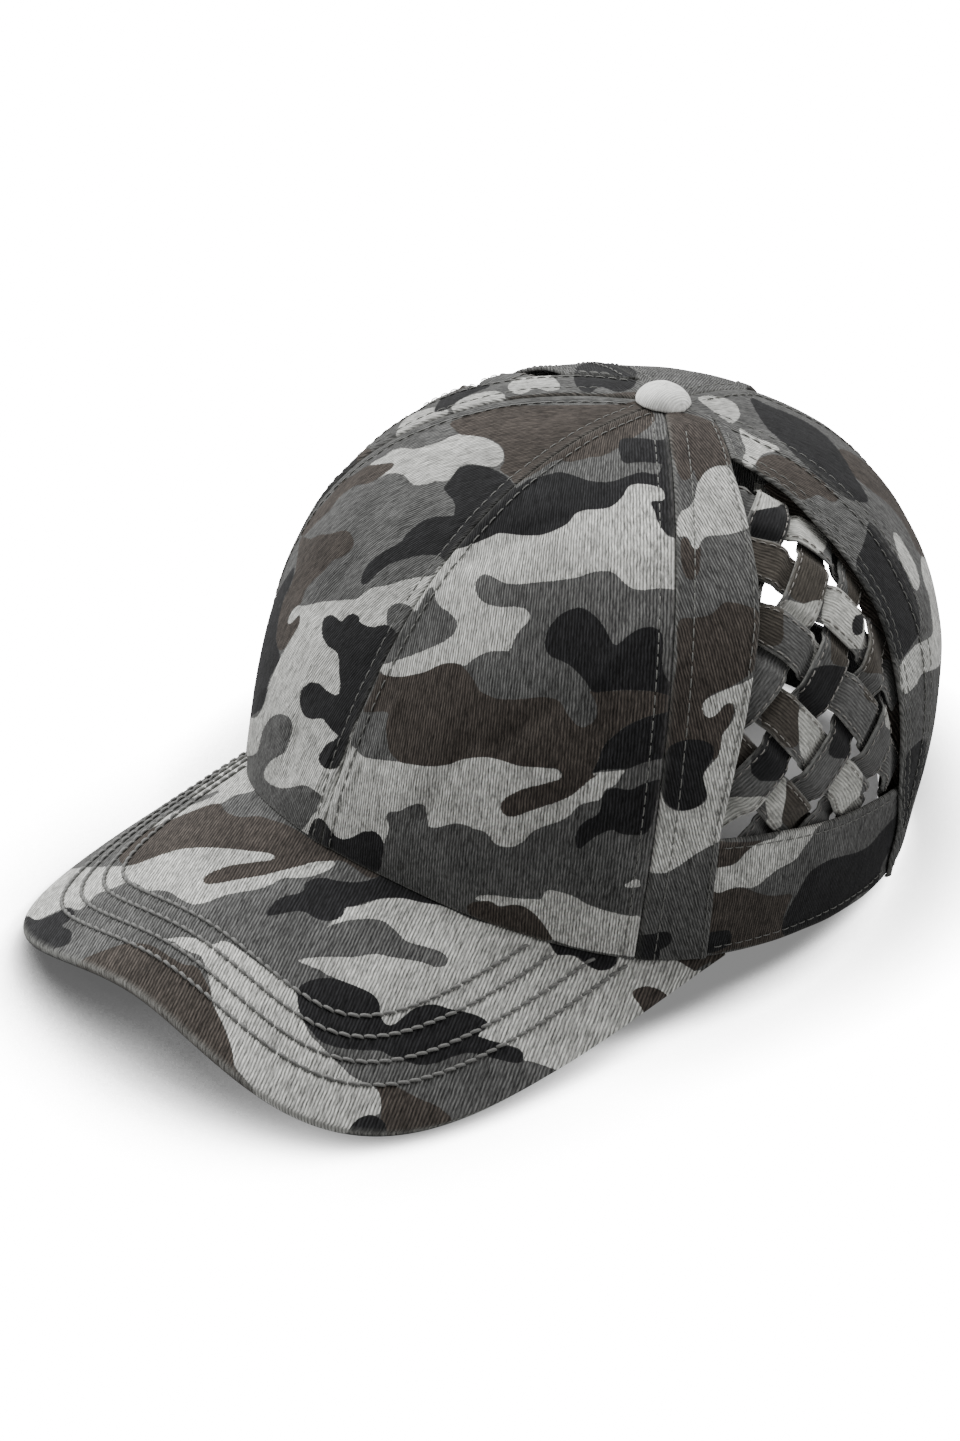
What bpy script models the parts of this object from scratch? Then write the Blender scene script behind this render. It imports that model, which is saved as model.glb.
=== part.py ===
import bpy
import numpy as np
from math import radians

for old in list(bpy.data.objects):
    bpy.data.objects.remove(old, do_unlink=True)

# Cloth, gaps and stitching allowances, in metres
CLOTH = 0.0012
SEAM_GAP = 0.0005
FIT_GAP = 0.00045

# Crown, in metres and degrees from the forehead
HALF_LENGTH = 0.0978
HALF_WIDTH = 0.0836
RIM_FORWARD = 0.0035
CROWN_HEIGHT = 0.1153
TOP_BACK = 0.0067
SIDE_SEAM = radians(58.3)
REAR_SEAM = radians(116.0)
CROWN_TOP_RATIO = 0.99
FRONT_SQUARENESS = 2.107
SIDE_SQUARENESS = 2.523
BACK_SQUARENESS = 2.578
FRONT_BULGE_RATIO = -0.038
SIDE_BULGE_RATIO = 0.138
BACK_BULGE_RATIO = 0.047
RIM_DROP = -0.0015
RIM_BACK_RISE = 0.0021

# Brim, in metres and degrees
BRIM_REACH = 0.0622
BRIM_FLARE = 0.0011
BRIM_WRAP = radians(74.8)
BRIM_BOARD = 0.0032
BRIM_ARCH = 0.0355
BRIM_ARCH_GAIN = 0.0012
BRIM_SLOPE_RATIO = 0.271
BRIM_NOSE_DROP = 0.006
BRIM_TUCK = 0.0025
BRIM_EDGE_ROUND = 0.0011
ARCH_SQUARENESS = 2.466
ARCH_SOFTENING_RATIO = 0.444
CORNER_SQUARENESS = 3.06
NOSE_SQUARENESS = 4.39
NOSE_START_RATIO = 0.96
NOSE_RUN_RATIO = 1.13

# Bands round the woven windows, in metres
FRONT_BAND = 0.023
REAR_BAND = 0.0205
HEM_BAND = 0.038
HEM_BAND_BACK = 0.033
LEAST_STRIP_OF_BAND = 0.0016

# Woven strips, in metres and degrees
STRIP_PITCH = 0.016
STRIP_WIDTH = 0.0117
STRIP_CLOTH = 0.0012
STRIP_TUCK = 0.0055
WEAVE_SWING = 0.0011
WEAVE_DEPTH = 0.0007
WEAVE_BLEND = 0.009
WEAVE_CLEARANCE = 0.0009
WEAVE_ROUNDING_RATIO = 0.05
RISING_ANGLE = radians(46.0)
FALLING_ANGLE = radians(47.0)
WEAVE_ACROSS = 0.0032
WEAVE_UP = 0.0766
WINDOW_MIDDLE = radians(85.0)

# Ponytail opening, strap and button, in metres
SLIT_TOP = 0.135
SLIT_HALF_WIDTH = 0.025
STRAP_HEIGHT = 0.022
STRAP_LIFT = 0.003
STRAP_OVERLAP = 0.012
BUTTON_RADIUS = 0.0074
BUTTON_HEIGHT = 0.0047

# Width of the front band up the crown, as shares of its greatest width
FRONT_BAND_SHAPE = [
    # height share, width share
    (0.00, 0.89),
    (0.09, 0.81),
    (0.17, 0.77),
    (0.25, 0.83),
    (0.33, 0.90),
    (0.42, 0.96),
    (0.50, 1.00),
    (0.58, 0.97),
    (0.69, 0.87),
    (0.81, 0.75),
    (1.00, 0.70),
]

# Width of the rear band up the crown, as shares of its greatest width
REAR_BAND_SHAPE = [
    # height share, width share
    (0.000, 0.13),
    (0.060, 0.36),
    (0.126, 0.70),
    (0.190, 0.85),
    (0.265, 0.94),
    (0.360, 1.00),
    (0.650, 0.97),
    (0.730, 0.88),
    (1.000, 0.86),
]

# Half width of the ponytail opening, as shares of its top and its greatest half width
SLIT_SHAPE = [
    # height share, half width share
    (0.00, 1.00),
    (0.30, 1.00),
    (0.50, 0.93),
    (0.70, 0.74),
    (0.85, 0.46),
    (0.95, 0.18),
    (1.00, 0.00),
]

part = bpy.data.collections.new("ponytail_baseball_cap")
bpy.context.scene.collection.children.link(part)


def column(table, k):
    """One column of a short table as an array."""
    return np.array([row[k] for row in table])


def shape(table, share):
    """Value of a two-column table at a share, eased between its rows by straight lines."""
    return np.interp(share, column(table, 0), column(table, 1))


def smooth(share):
    """Ease from 0 to 1 with level ends."""
    s = np.clip(share, 0, 1)
    return s * s * (3 - 2 * s)


def by_side(angle, front, side, back):
    """Blend of a front, side and back value by the square of the angle's cosine."""
    c = np.cos(angle)
    ahead = np.clip(c, 0, 1) ** 2
    behind = np.clip(-c, 0, 1) ** 2
    return ahead * front + behind * back + (1 - ahead - behind) * side


WING_X = HALF_WIDTH * np.sin(BRIM_WRAP)
WING_Y = -HALF_LENGTH * np.cos(BRIM_WRAP) - RIM_FORWARD
BRIM_HALF_WIDTH = WING_X + BRIM_FLARE


def brim_height(x, y):
    """Height of the bent brim: an arch across, a slope forward and a slight droop of the nose."""
    forward = np.clip((WING_Y - y) / HALF_LENGTH, 0, 2)
    power = ARCH_SQUARENESS - ARCH_SOFTENING_RATIO * forward
    arch = (BRIM_ARCH + BRIM_ARCH_GAIN * forward) * (np.abs(x) / WING_X) ** power - BRIM_ARCH
    nose = np.clip((forward * HALF_LENGTH / BRIM_REACH - NOSE_START_RATIO) / NOSE_RUN_RATIO, 0, 2) ** 2
    return RIM_DROP - arch - (WING_Y - y) * BRIM_SLOPE_RATIO - BRIM_NOSE_DROP * nose


def rim(angle, inset=0.0):
    """Point of the crown's lower edge: an ellipse that follows the brim, then runs level to the back."""
    a = np.abs(angle)
    x = (HALF_WIDTH - inset) * np.sin(angle)
    y = -(HALF_LENGTH - inset) * np.cos(angle) - RIM_FORWARD
    front = brim_height(HALF_WIDTH * np.sin(angle), -HALF_LENGTH * np.cos(angle) - RIM_FORWARD)
    back = RIM_DROP + (RIM_BACK_RISE - RIM_DROP) * smooth((a - BRIM_WRAP) / (np.pi - BRIM_WRAP))
    return x, y, np.where(a < BRIM_WRAP, front, back)


def crown(angle, share):
    """Point of the crown: every meridian is a superellipse from the rim, share 0, to the top, share 1."""
    angle, share = np.broadcast_arrays(np.asarray(angle, float), np.asarray(share, float))
    x, y, z = rim(angle)
    power = by_side(angle, FRONT_SQUARENESS, SIDE_SQUARENESS, BACK_SQUARENESS)
    bulge = by_side(angle, FRONT_BULGE_RATIO, SIDE_BULGE_RATIO, BACK_BULGE_RATIO)
    out = np.abs(np.cos(np.pi / 2 * share)) ** (2 / power) * (1 + bulge * 4 * share * (1 - share))
    up = np.abs(np.sin(np.pi / 2 * share)) ** (2 / power)
    px = x * out
    py = TOP_BACK + (y - TOP_BACK) * out
    pz = z + (CROWN_HEIGHT - z) * up
    return np.stack([px, py, pz], -1)


def spread(angle, share):
    """Metres along the crown per radian of angle."""
    step = 1e-3
    return np.linalg.norm(crown(angle + step, share) - crown(angle - step, share), axis=-1) / (2 * step)


def outward(angle, share):
    """Unit normal of the crown."""
    step = 1e-3
    share = np.clip(share, 2 * step, 1 - 2 * step)
    round_way = crown(angle + step, share) - crown(angle - step, share)
    up_way = crown(angle, share + step) - crown(angle, share - step)
    normal = np.cross(round_way, up_way)
    return normal / np.linalg.norm(normal, axis=-1, keepdims=True)


HEIGHTS = np.linspace(0, 1, 801)
MIDDLE_LINE = crown(WINDOW_MIDDLE, HEIGHTS)
MIDDLE_ARC = np.append(0, np.cumsum(np.linalg.norm(np.diff(MIDDLE_LINE, axis=0), axis=1)))
BACK_LINE = crown(np.pi, HEIGHTS)
BACK_ARC = np.append(0, np.cumsum(np.linalg.norm(np.diff(BACK_LINE, axis=0), axis=1)))


def share_at(arc, arcs):
    """Height share at a length up a meridian."""
    return np.interp(arc, arcs, HEIGHTS)


def aside(seam, width, share):
    """Angle that lies a given width along the crown from a seam."""
    first = seam + width / spread(seam, share)
    return seam + width / spread((seam + first) / 2, share)


def front_band_edge(share):
    """Rear edge of the front band, which meets the rear seam near the button."""
    width = FRONT_BAND * shape(FRONT_BAND_SHAPE, share)
    share = np.minimum(share, CROWN_TOP_RATIO)
    return np.minimum(aside(SIDE_SEAM, width, share), REAR_SEAM)


def rear_band_edge(share):
    """Front edge of the rear band, which slips behind the front band above the window."""
    width = REAR_BAND * shape(REAR_BAND_SHAPE, share)
    return np.maximum(aside(REAR_SEAM, -width, np.minimum(share, CROWN_TOP_RATIO)), front_band_edge(share))


def band_top():
    """Height share where the rear band has run out behind the front band."""
    share = np.linspace(0.5, 0.985, 400)
    width = (REAR_SEAM - front_band_edge(share)) * spread(REAR_SEAM, share) - SEAM_GAP
    return share[width > LEAST_STRIP_OF_BAND][-1]


HEM_FRONT = share_at(HEM_BAND, MIDDLE_ARC)
HEM_BACK = share_at(HEM_BAND_BACK, MIDDLE_ARC)


def hem_top(angle):
    """Height share of the hem band's upper edge, a little lower toward the back."""
    ahead = front_band_edge(HEM_FRONT)
    behind = rear_band_edge(HEM_BACK)
    return HEM_FRONT + (HEM_BACK - HEM_FRONT) * np.clip((angle - ahead) / (behind - ahead), 0, 1)


def painted(name, colour):
    """Plain cloth material of one piece."""
    material = bpy.data.materials.new(name + "_cloth")
    material.use_nodes = True
    shader = material.node_tree.nodes["Principled BSDF"]
    shader.inputs["Base Color"].default_value = (*colour, 1.0)
    shader.inputs["Roughness"].default_value = 0.85
    return material


def sheet_object(name, points, colour, thickness, offset, left):
    """Grid of points made into a cloth wall; the grid's first way runs round, its second way up."""
    rows, cols = points.shape[:2]
    number = np.arange(rows * cols).reshape(rows, cols)
    corners = [number[:-1, :-1], number[1:, :-1], number[1:, 1:], number[:-1, 1:]]
    faces = np.stack(corners, -1).reshape(-1, 4)
    vertices = points.reshape(-1, 3) * (1.0 if left else np.array([-1.0, 1.0, 1.0]))
    if not left:
        faces = faces[:, ::-1]
    mesh = bpy.data.meshes.new(name)
    mesh.from_pydata(vertices.tolist(), [], faces.tolist())
    mesh.materials.append(painted(name, colour))
    piece = bpy.data.objects.new(name, mesh)
    part.objects.link(piece)
    wall = piece.modifiers.new("cloth wall", "SOLIDIFY")
    wall.thickness = thickness
    wall.offset = offset
    wall.use_even_offset = True
    return piece


def grid(first_edge, last_edge, low, high, across, up):
    """Angles and height shares of a patch between two edges given as functions of the share."""
    share = low + (high - low) * np.linspace(0, 1, up + 1)[None, :]
    half = SEAM_GAP / 2 / spread(SIDE_SEAM, share)
    start = first_edge(share) + half
    end = last_edge(share) - half
    angle = start + (end - start) * np.linspace(0, 1, across + 1)[:, None]
    return angle, np.broadcast_to(share, angle.shape)


def crown_patch(name, edges, low, high, across, up, colour, left):
    """Cloth wall of one sewn piece of the crown."""
    angle, share = grid(edges[0], edges[1], low, high, across, up)
    return sheet_object(name, crown(angle, share), colour, CLOTH, -1.0, left)


def constant(angle):
    """Edge that runs straight up a seam."""
    return lambda share: np.full_like(share, angle)


def slit_edge(share):
    """Side edge of the ponytail opening; above the opening the two back panels meet."""
    arc = np.interp(share, HEIGHTS, BACK_ARC)
    half = SLIT_HALF_WIDTH * shape(SLIT_SHAPE, arc / SLIT_TOP)
    return np.pi - half / spread(np.pi, share)


def hem_patch(name, colour, left):
    """Hem band below a woven window, from the front band back to the rear band."""
    across = np.linspace(0, 1, 9)[:, None]
    up = np.linspace(0, 1, 5)[None, :]
    half = SEAM_GAP / 2 / spread(WINDOW_MIDDLE, up * HEM_FRONT)
    share = up * (HEM_FRONT + (HEM_BACK - HEM_FRONT) * across)
    start = front_band_edge(share) + half
    end = rear_band_edge(share) - half
    angle = start + (end - start) * across
    return sheet_object(name, crown(angle, share), colour, CLOTH, -1.0, left)


RISING = np.array([np.cos(RISING_ANGLE), np.sin(RISING_ANGLE)])
FALLING = np.array([np.cos(FALLING_ANGLE), -np.sin(FALLING_ANGLE)])
RISING_STEP = np.array([np.sin(RISING_ANGLE), -np.cos(RISING_ANGLE)])
FALLING_STEP = np.array([-np.sin(FALLING_ANGLE), -np.cos(FALLING_ANGLE)])
WEAVE_CENTRE = np.array([WEAVE_ACROSS, WEAVE_UP])


def on_crown(flat):
    """Angle and height share of points given flat: across from the window's middle, up from the rim."""
    share = share_at(flat[..., 1], MIDDLE_ARC)
    return WINDOW_MIDDLE + flat[..., 0] / spread(WINDOW_MIDDLE, share), share


def window_margin(flat):
    """Metres inside the nearest edge of the woven window, negative under its bands."""
    angle, share = on_crown(flat)
    scale = spread(WINDOW_MIDDLE, share)
    ahead = (angle - front_band_edge(share)) * scale
    behind = (rear_band_edge(share) - angle) * scale
    above = flat[..., 1] - np.interp(hem_top(angle), HEIGHTS, MIDDLE_ARC)
    return np.minimum(np.minimum(ahead, behind), above)


def weave(steps):
    """Flat-topped wave, 1 where the strip lies on top and -1 where it passes below."""
    c = np.cos(np.pi * steps)
    return c * np.sqrt((1 + WEAVE_ROUNDING_RATIO) / (c * c + WEAVE_ROUNDING_RATIO))


def strip(name, along, sideways, crossing_step, step, sign, colour, left):
    """One folded strip of the weave, from under one band to under the other."""
    middle = WEAVE_CENTRE + sideways * step * STRIP_PITCH
    reach = np.linspace(-0.09, 0.09, 721)
    held = window_margin(middle + reach[:, None] * along) > -STRIP_TUCK
    start = reach[held][0]
    end = reach[held][-1]
    count = max(4, int(round((end - start) / STRIP_PITCH * 6)))
    run = np.linspace(start, end, count + 1)[:, None]
    side = np.linspace(-0.5, 0.5, 3)[None, :] * STRIP_WIDTH
    flat = middle + run[..., None] * along + side[..., None] * sideways
    angle, share = on_crown(flat)
    crossing = (flat - WEAVE_CENTRE) @ crossing_step / STRIP_PITCH
    lift = WEAVE_SWING * sign * weave(crossing + step) - WEAVE_DEPTH
    deepest = WEAVE_SWING + STRIP_CLOTH / 2 - WEAVE_DEPTH + CLOTH + WEAVE_CLEARANCE
    lift = lift - deepest * (1 - smooth(window_margin(flat) / WEAVE_BLEND))
    points = crown(angle, share) + outward(angle, share) * lift[..., None]
    if sign > 0:
        points = points[:, ::-1]
    return sheet_object(name, points, colour, STRIP_CLOTH, 0.0, left)


GREY = (0.16, 0.16, 0.16)
LIGHT = (0.45, 0.45, 0.43)
BROWN = (0.08, 0.065, 0.055)
BLACK = (0.03, 0.03, 0.032)

for left in (True, False):
    tag = "left" if left else "right"

    # Front panel, from the middle seam to the side seam
    ends = (constant(0.0), constant(SIDE_SEAM))
    crown_patch("front_panel_" + tag, ends, 0.0, CROWN_TOP_RATIO, 8, 16, GREY, left)

    # Front band beside the woven window, right up to the button
    ends = (constant(SIDE_SEAM), front_band_edge)
    crown_patch("front_band_" + tag, ends, 0.0, CROWN_TOP_RATIO, 2, 18, LIGHT, left)

    # Rear band behind the woven window, up to where it runs out behind the front band
    ends = (rear_band_edge, constant(REAR_SEAM))
    crown_patch("rear_band_" + tag, ends, 0.0, band_top(), 2, 18, BROWN, left)

    # Hem band under the woven window
    hem_patch("hem_band_" + tag, LIGHT, left)

    # Back panel, from the rear seam to the ponytail opening
    ends = (constant(REAR_SEAM), slit_edge)
    crown_patch("back_panel_" + tag, ends, 0.0, CROWN_TOP_RATIO, 6, 18, GREY, left)

    # Folded strips, woven over and under each other across the window
    for k in range(-2, 3):
        name = "rising_strip_" + tag + "_" + str(k + 3)
        strip(name, RISING, RISING_STEP, FALLING_STEP, k, 1.0, BLACK, left)
        name = "falling_strip_" + tag + "_" + str(k + 3)
        strip(name, FALLING, FALLING_STEP, RISING_STEP, k, -1.0, BROWN, left)

# Closed adjuster strap across the foot of the ponytail opening, inside the back panels
reach = (SLIT_HALF_WIDTH + STRAP_OVERLAP) / spread(np.pi, 0.0)
strap_angle = np.pi + reach * np.linspace(-1, 1, 17)[:, None]
strap_share = share_at(STRAP_LIFT + STRAP_HEIGHT * np.linspace(0, 1, 4), BACK_ARC)[None, :]
strap_angle, strap_share = np.broadcast_arrays(strap_angle, strap_share)
wrapped = np.where(strap_angle > np.pi, strap_angle - 2 * np.pi, strap_angle)
strap_points = crown(wrapped, strap_share) - outward(wrapped, strap_share) * (CLOTH + FIT_GAP)
sheet_object("back_strap", strap_points, BLACK, CLOTH, -1.0, True)

# Stiff brim: a board wrapped in cloth, tucked under the front of the crown
turn = np.linspace(-1, 1, 33)[:, None]
rim_x, rim_y, rim_z = rim(turn * BRIM_WRAP)
tuck_x, tuck_y, tuck_z = rim(turn * BRIM_WRAP, BRIM_TUCK)
depth = HALF_LENGTH + RIM_FORWARD + BRIM_REACH + WING_Y
quarter = turn * np.pi / 2
edge_x = BRIM_HALF_WIDTH * np.sign(turn) * np.abs(np.sin(quarter)) ** (2 / CORNER_SQUARENESS)
edge_y = WING_Y - depth * np.abs(np.cos(quarter)) ** (2 / NOSE_SQUARENESS)
shares = np.linspace(0, 1, 6)[None, :]
out_x = rim_x + (edge_x - rim_x) * shares
out_y = rim_y + (edge_y - rim_y) * shares
brim_x = np.concatenate([tuck_x, out_x], axis=1)
brim_y = np.concatenate([tuck_y, out_y], axis=1)
brim_z = np.concatenate([tuck_z, brim_height(out_x, out_y)], axis=1) - SEAM_GAP
brim_points = np.stack([brim_x, brim_y, brim_z], -1)[:, ::-1]
brim = sheet_object("brim", brim_points, GREY, BRIM_BOARD, -1.0, True)
rounding = brim.modifiers.new("rounded edge", "BEVEL")
rounding.width = BRIM_EDGE_ROUND
rounding.segments = 2
rounding.limit_method = "ANGLE"
rounding.angle_limit = radians(50)

# Covered button where the panels meet
profile = np.linspace(0, 1, 6)
button_radius = BUTTON_RADIUS * np.cos(profile * np.pi / 2) ** 0.75
button_height = BUTTON_HEIGHT * np.sin(profile * np.pi / 2) ** 1.1
ring = np.arange(20) * 2 * np.pi / 20
ring_x = np.cos(ring)[:, None] * button_radius[None, :-1]
ring_y = np.sin(ring)[:, None] * button_radius[None, :-1]
ring_z = np.broadcast_to(button_height[None, :-1], ring_x.shape)
seat = np.array([0.0, TOP_BACK, CROWN_HEIGHT + FIT_GAP])
dome = np.stack([ring_x, ring_y, ring_z], -1).reshape(-1, 3) + seat
number = np.arange(100).reshape(20, 5)
after = np.roll(number, -1, axis=0)
walls = np.stack([number[:, :-1], after[:, :-1], after[:, 1:], number[:, 1:]], -1).reshape(-1, 4)
tip = seat + np.array([0.0, 0.0, BUTTON_HEIGHT])
button_faces = walls.tolist()
button_faces += [[int(number[k, 4]), int(after[k, 4]), 100] for k in range(20)]
button_faces.append([int(n) for n in number[::-1, 0]])
button_mesh = bpy.data.meshes.new("button")
button_mesh.from_pydata(np.vstack([dome, tip]).tolist(), [], button_faces)
button_mesh.materials.append(painted("button", LIGHT))
button = bpy.data.objects.new("button", button_mesh)
part.objects.link(button)


def shaped_points(piece):
    """World points of a piece after its modifiers."""
    graph = bpy.context.evaluated_depsgraph_get()
    shaped = piece.evaluated_get(graph)
    mesh = shaped.to_mesh()
    points = np.zeros(len(mesh.vertices) * 3)
    mesh.vertices.foreach_get("co", points)
    shaped.to_mesh_clear()
    return points.reshape(-1, 3)


def pitched(points, angle):
    """Points turned about the X axis."""
    c = np.cos(angle)
    s = np.sin(angle)
    return points @ np.array([[1, 0, 0], [0, c, s], [0, -s, c]])


# Rest the cap on its brim and the back of its rim, then centre it over the origin
bpy.context.view_layer.update()
brim_shape = shaped_points(brim)
cloud = np.vstack([shaped_points(piece) for piece in part.objects])
back_shape = cloud[cloud[:, 1] > 0]
low = radians(-20)
high = radians(10)
for _ in range(40):
    lean = (low + high) / 2
    if pitched(brim_shape, lean)[:, 2].min() > pitched(back_shape, lean)[:, 2].min():
        low = lean
    else:
        high = lean
cloud = pitched(cloud, lean)
foot = np.array([0, (cloud[:, 1].min() + cloud[:, 1].max()) / 2, cloud[:, 2].min()])
for piece in part.objects:
    points = np.zeros(len(piece.data.vertices) * 3)
    piece.data.vertices.foreach_get("co", points)
    points = pitched(points.reshape(-1, 3), lean) - foot
    piece.data.vertices.foreach_set("co", points.ravel())
    piece.data.update()
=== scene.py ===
import bpy
import numpy as np
from math import radians
from mathutils import Matrix, Vector


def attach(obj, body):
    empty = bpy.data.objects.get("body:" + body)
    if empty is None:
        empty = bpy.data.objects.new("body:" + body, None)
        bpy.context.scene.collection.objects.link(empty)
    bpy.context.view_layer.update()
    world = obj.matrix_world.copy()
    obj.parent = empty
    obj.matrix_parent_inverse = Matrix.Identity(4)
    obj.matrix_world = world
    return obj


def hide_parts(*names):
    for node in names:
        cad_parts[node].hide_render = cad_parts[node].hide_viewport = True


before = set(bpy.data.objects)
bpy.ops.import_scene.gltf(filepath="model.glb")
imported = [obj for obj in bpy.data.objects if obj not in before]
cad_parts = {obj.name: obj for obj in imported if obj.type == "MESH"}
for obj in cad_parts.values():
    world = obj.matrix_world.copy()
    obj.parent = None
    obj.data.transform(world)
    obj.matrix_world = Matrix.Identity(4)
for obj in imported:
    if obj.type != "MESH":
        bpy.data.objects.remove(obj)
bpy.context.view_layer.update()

# Photographer's place. The cap stands on a white table, seen from its front left and from
# above through a long lens. All lengths of the scene are metres unless a name says otherwise.
PHOTO_SIZE = np.array([960, 1441])
LENS_MM = 119.666
SENSOR_MM = 36
CAMERA_PLACE = np.array([0.763458, -0.752553, 0.725833])
CAMERA_AZIMUTH = radians(45.7415)
CAMERA_ELEVATION = radians(32.2776)
CAMERA_ROLL = radians(1.1318)
PIXELS_PER_MM = 3.75

away = np.array([
    np.sin(CAMERA_AZIMUTH) * np.cos(CAMERA_ELEVATION),
    -np.cos(CAMERA_AZIMUTH) * np.cos(CAMERA_ELEVATION),
    np.sin(CAMERA_ELEVATION),
])
level = np.array([np.cos(CAMERA_AZIMUTH), np.sin(CAMERA_AZIMUTH), 0.0])
upward = np.cross(away, level)
camera_right = level * np.cos(CAMERA_ROLL) + upward * np.sin(CAMERA_ROLL)
camera_up = upward * np.cos(CAMERA_ROLL) - level * np.sin(CAMERA_ROLL)

camera = bpy.data.objects.new("camera", bpy.data.cameras.new("camera"))
camera.data.lens = LENS_MM
camera.data.sensor_width = SENSOR_MM
camera.data.clip_start = 0.05
turned = Matrix([camera_right, camera_up, away]).transposed().to_4x4()
camera.matrix_world = Matrix.Translation(Vector(CAMERA_PLACE)) @ turned
bpy.context.scene.collection.objects.link(camera)
bpy.context.scene.camera = camera


def in_photo(points):
    """Photo pixel of each point: its offset right and up over its distance, times the lens."""
    offset = points - CAMERA_PLACE
    scale = LENS_MM / SENSOR_MM * PHOTO_SIZE[1] / -(offset @ away)
    right = PHOTO_SIZE[0] / 2 + (offset @ camera_right) * scale
    down = PHOTO_SIZE[1] / 2 - (offset @ camera_up) * scale
    return np.stack([right, down], -1)


# Table and light. The cap stands on a white table in a white room; to the camera both glow plain
# white, and the soft shade round the cap is painted shade in the table's glow. Under the cap the
# table stays as dark as the light that comes in through the windows leaves it. The painted shade
# follows the table's ambient occlusion, is deeper under the left front of the brim, and a second
# painted oval of it lies where the rim touches the table.
# A wide soft light stands high behind the cap, and two small lamps stand at its front and side.
TABLE_HALF = 4.0
UNDER_CAP = (0.062, 0.082)
UNDER_CAP_MIDDLE = (0.0, 0.045)
TABLE_BOUNCE = 0.42
TABLE_BURNT = 18.0
SHADE_REACH = 0.040
SHADE_SAMPLES = 16
SHADE_DEPTH = (9.0, 5.0)
SHADE_ACROSS = (0.0, 0.06)
SHADE_LEAST = (0.12, 0.25)
RIM_SHADE = 4.8
RIM_SHADE_OVAL = (0.062, 0.070)
RIM_SHADE_MIDDLE = (0.0, 0.020)
RIM_SHADE_REACH = (1.12, 1.50)
SKY_BURNT = 20.0
SKY_LIGHT = 0.30
SUN_TOWARD = (-0.75, 0.60, 1.45)
SUN_STRENGTH = 4.8
SUN_SPREAD = radians(70)
FILL_PLACE = (-1.5, -0.8, 0.8)
FILL_SIZE = 1.0
FILL_WATTS = 19.0
SIDE_PLACE = (1.25, 0.85, 0.65)
SIDE_SIZE = 0.8
SIDE_WATTS = 6.5


def linear(colour):
    """Linear red, green, blue and alpha of an sRGB hex colour."""
    value = np.array([int(colour[k:k + 2], 16) for k in (1, 3, 5)]) / 255
    value = np.where(value > 0.04045, ((value + 0.055) / 1.055) ** 2.4, value / 12.92)
    return (*value.tolist(), 1.0)


def node(owner, kind, links=(), **settings):
    """Adds a shader node, sets its named settings or sockets, and links sockets given as pairs."""
    made = owner.node_tree.nodes.new("ShaderNode" + kind)
    for name, value in settings.items():
        if hasattr(made, name):
            setattr(made, name, value)
        else:
            made.inputs[name.replace("_", " ")].default_value = value
    for socket, source in links:
        owner.node_tree.links.new(source, made.inputs[socket])
    return made


def maths(owner, operation, *values):
    """Adds a math node on sockets or plain numbers, and gives its result."""
    made = node(owner, "Math", operation=operation)
    for socket, value in zip(made.inputs, values):
        if isinstance(value, bpy.types.NodeSocket):
            owner.node_tree.links.new(value, socket)
        else:
            socket.default_value = value
    return made.outputs[0]


def ramp(owner, value, source=(0, 1), target=(0, 1), shape="LINEAR"):
    """Adds a node that carries a number from one range to another, and gives its result."""
    made = node(owner, "MapRange", [("Value", value)], interpolation_type=shape,
                From_Min=source[0], From_Max=source[1], To_Min=target[0], To_Max=target[1])
    return made.outputs["Result"]


def new_material(name):
    """Empty node material with a Principled shader and its output."""
    material = bpy.data.materials.new(name)
    material.use_nodes = True
    return material, material.node_tree.nodes["Principled BSDF"]


table_paint_and_painted_shade, shader = new_material("matt_white_table_paint")
shader.inputs["Base Color"].default_value = (TABLE_BOUNCE,) * 3 + (1.0,)
shader.inputs["Roughness"].default_value = 1.0
shader.inputs["Specular IOR Level"].default_value = 0.0
where = node(table_paint_and_painted_shade, "TexCoord").outputs["Object"]


def oval_reach(middle, oval):
    """Distance from an oval's middle on the table, 1 on the oval itself."""
    inward = node(table_paint_and_painted_shade, "VectorMath", [(0, where)], operation="SUBTRACT")
    inward.inputs[1].default_value = (*middle, 0.0)
    share = node(table_paint_and_painted_shade, "VectorMath", [(0, inward.outputs[0])], operation="DIVIDE")
    share.inputs[1].default_value = (*oval, 1.0)
    length = node(table_paint_and_painted_shade, "VectorMath", [(0, share.outputs[0])], operation="LENGTH")
    return length.outputs["Value"]


# Painted shade: the camera sees the table as a glow whose strength falls with ambient occlusion,
# more toward the left, and in a painted oval round the rim.
unshaded_glow_power = np.log(TABLE_BURNT)
rim_shade = ramp(table_paint_and_painted_shade, oval_reach(RIM_SHADE_MIDDLE, RIM_SHADE_OVAL), RIM_SHADE_REACH,
                 (unshaded_glow_power - RIM_SHADE, unshaded_glow_power), "SMOOTHSTEP")
across = node(table_paint_and_painted_shade, "SeparateXYZ", [(0, where)]).outputs["X"]
depth = ramp(table_paint_and_painted_shade, across, SHADE_ACROSS, SHADE_DEPTH, "SMOOTHSTEP")
darkest = ramp(table_paint_and_painted_shade, across, SHADE_ACROSS, SHADE_LEAST, "SMOOTHSTEP")
openness = node(table_paint_and_painted_shade, "AmbientOcclusion", Distance=SHADE_REACH, samples=SHADE_SAMPLES)
closed = maths(table_paint_and_painted_shade, "SUBTRACT", openness.outputs["AO"], 1.0)
fall = maths(table_paint_and_painted_shade, "MULTIPLY_ADD", closed, depth, rim_shade)
glow = maths(table_paint_and_painted_shade, "MAXIMUM", maths(table_paint_and_painted_shade, "EXPONENT", fall), darkest)
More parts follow.
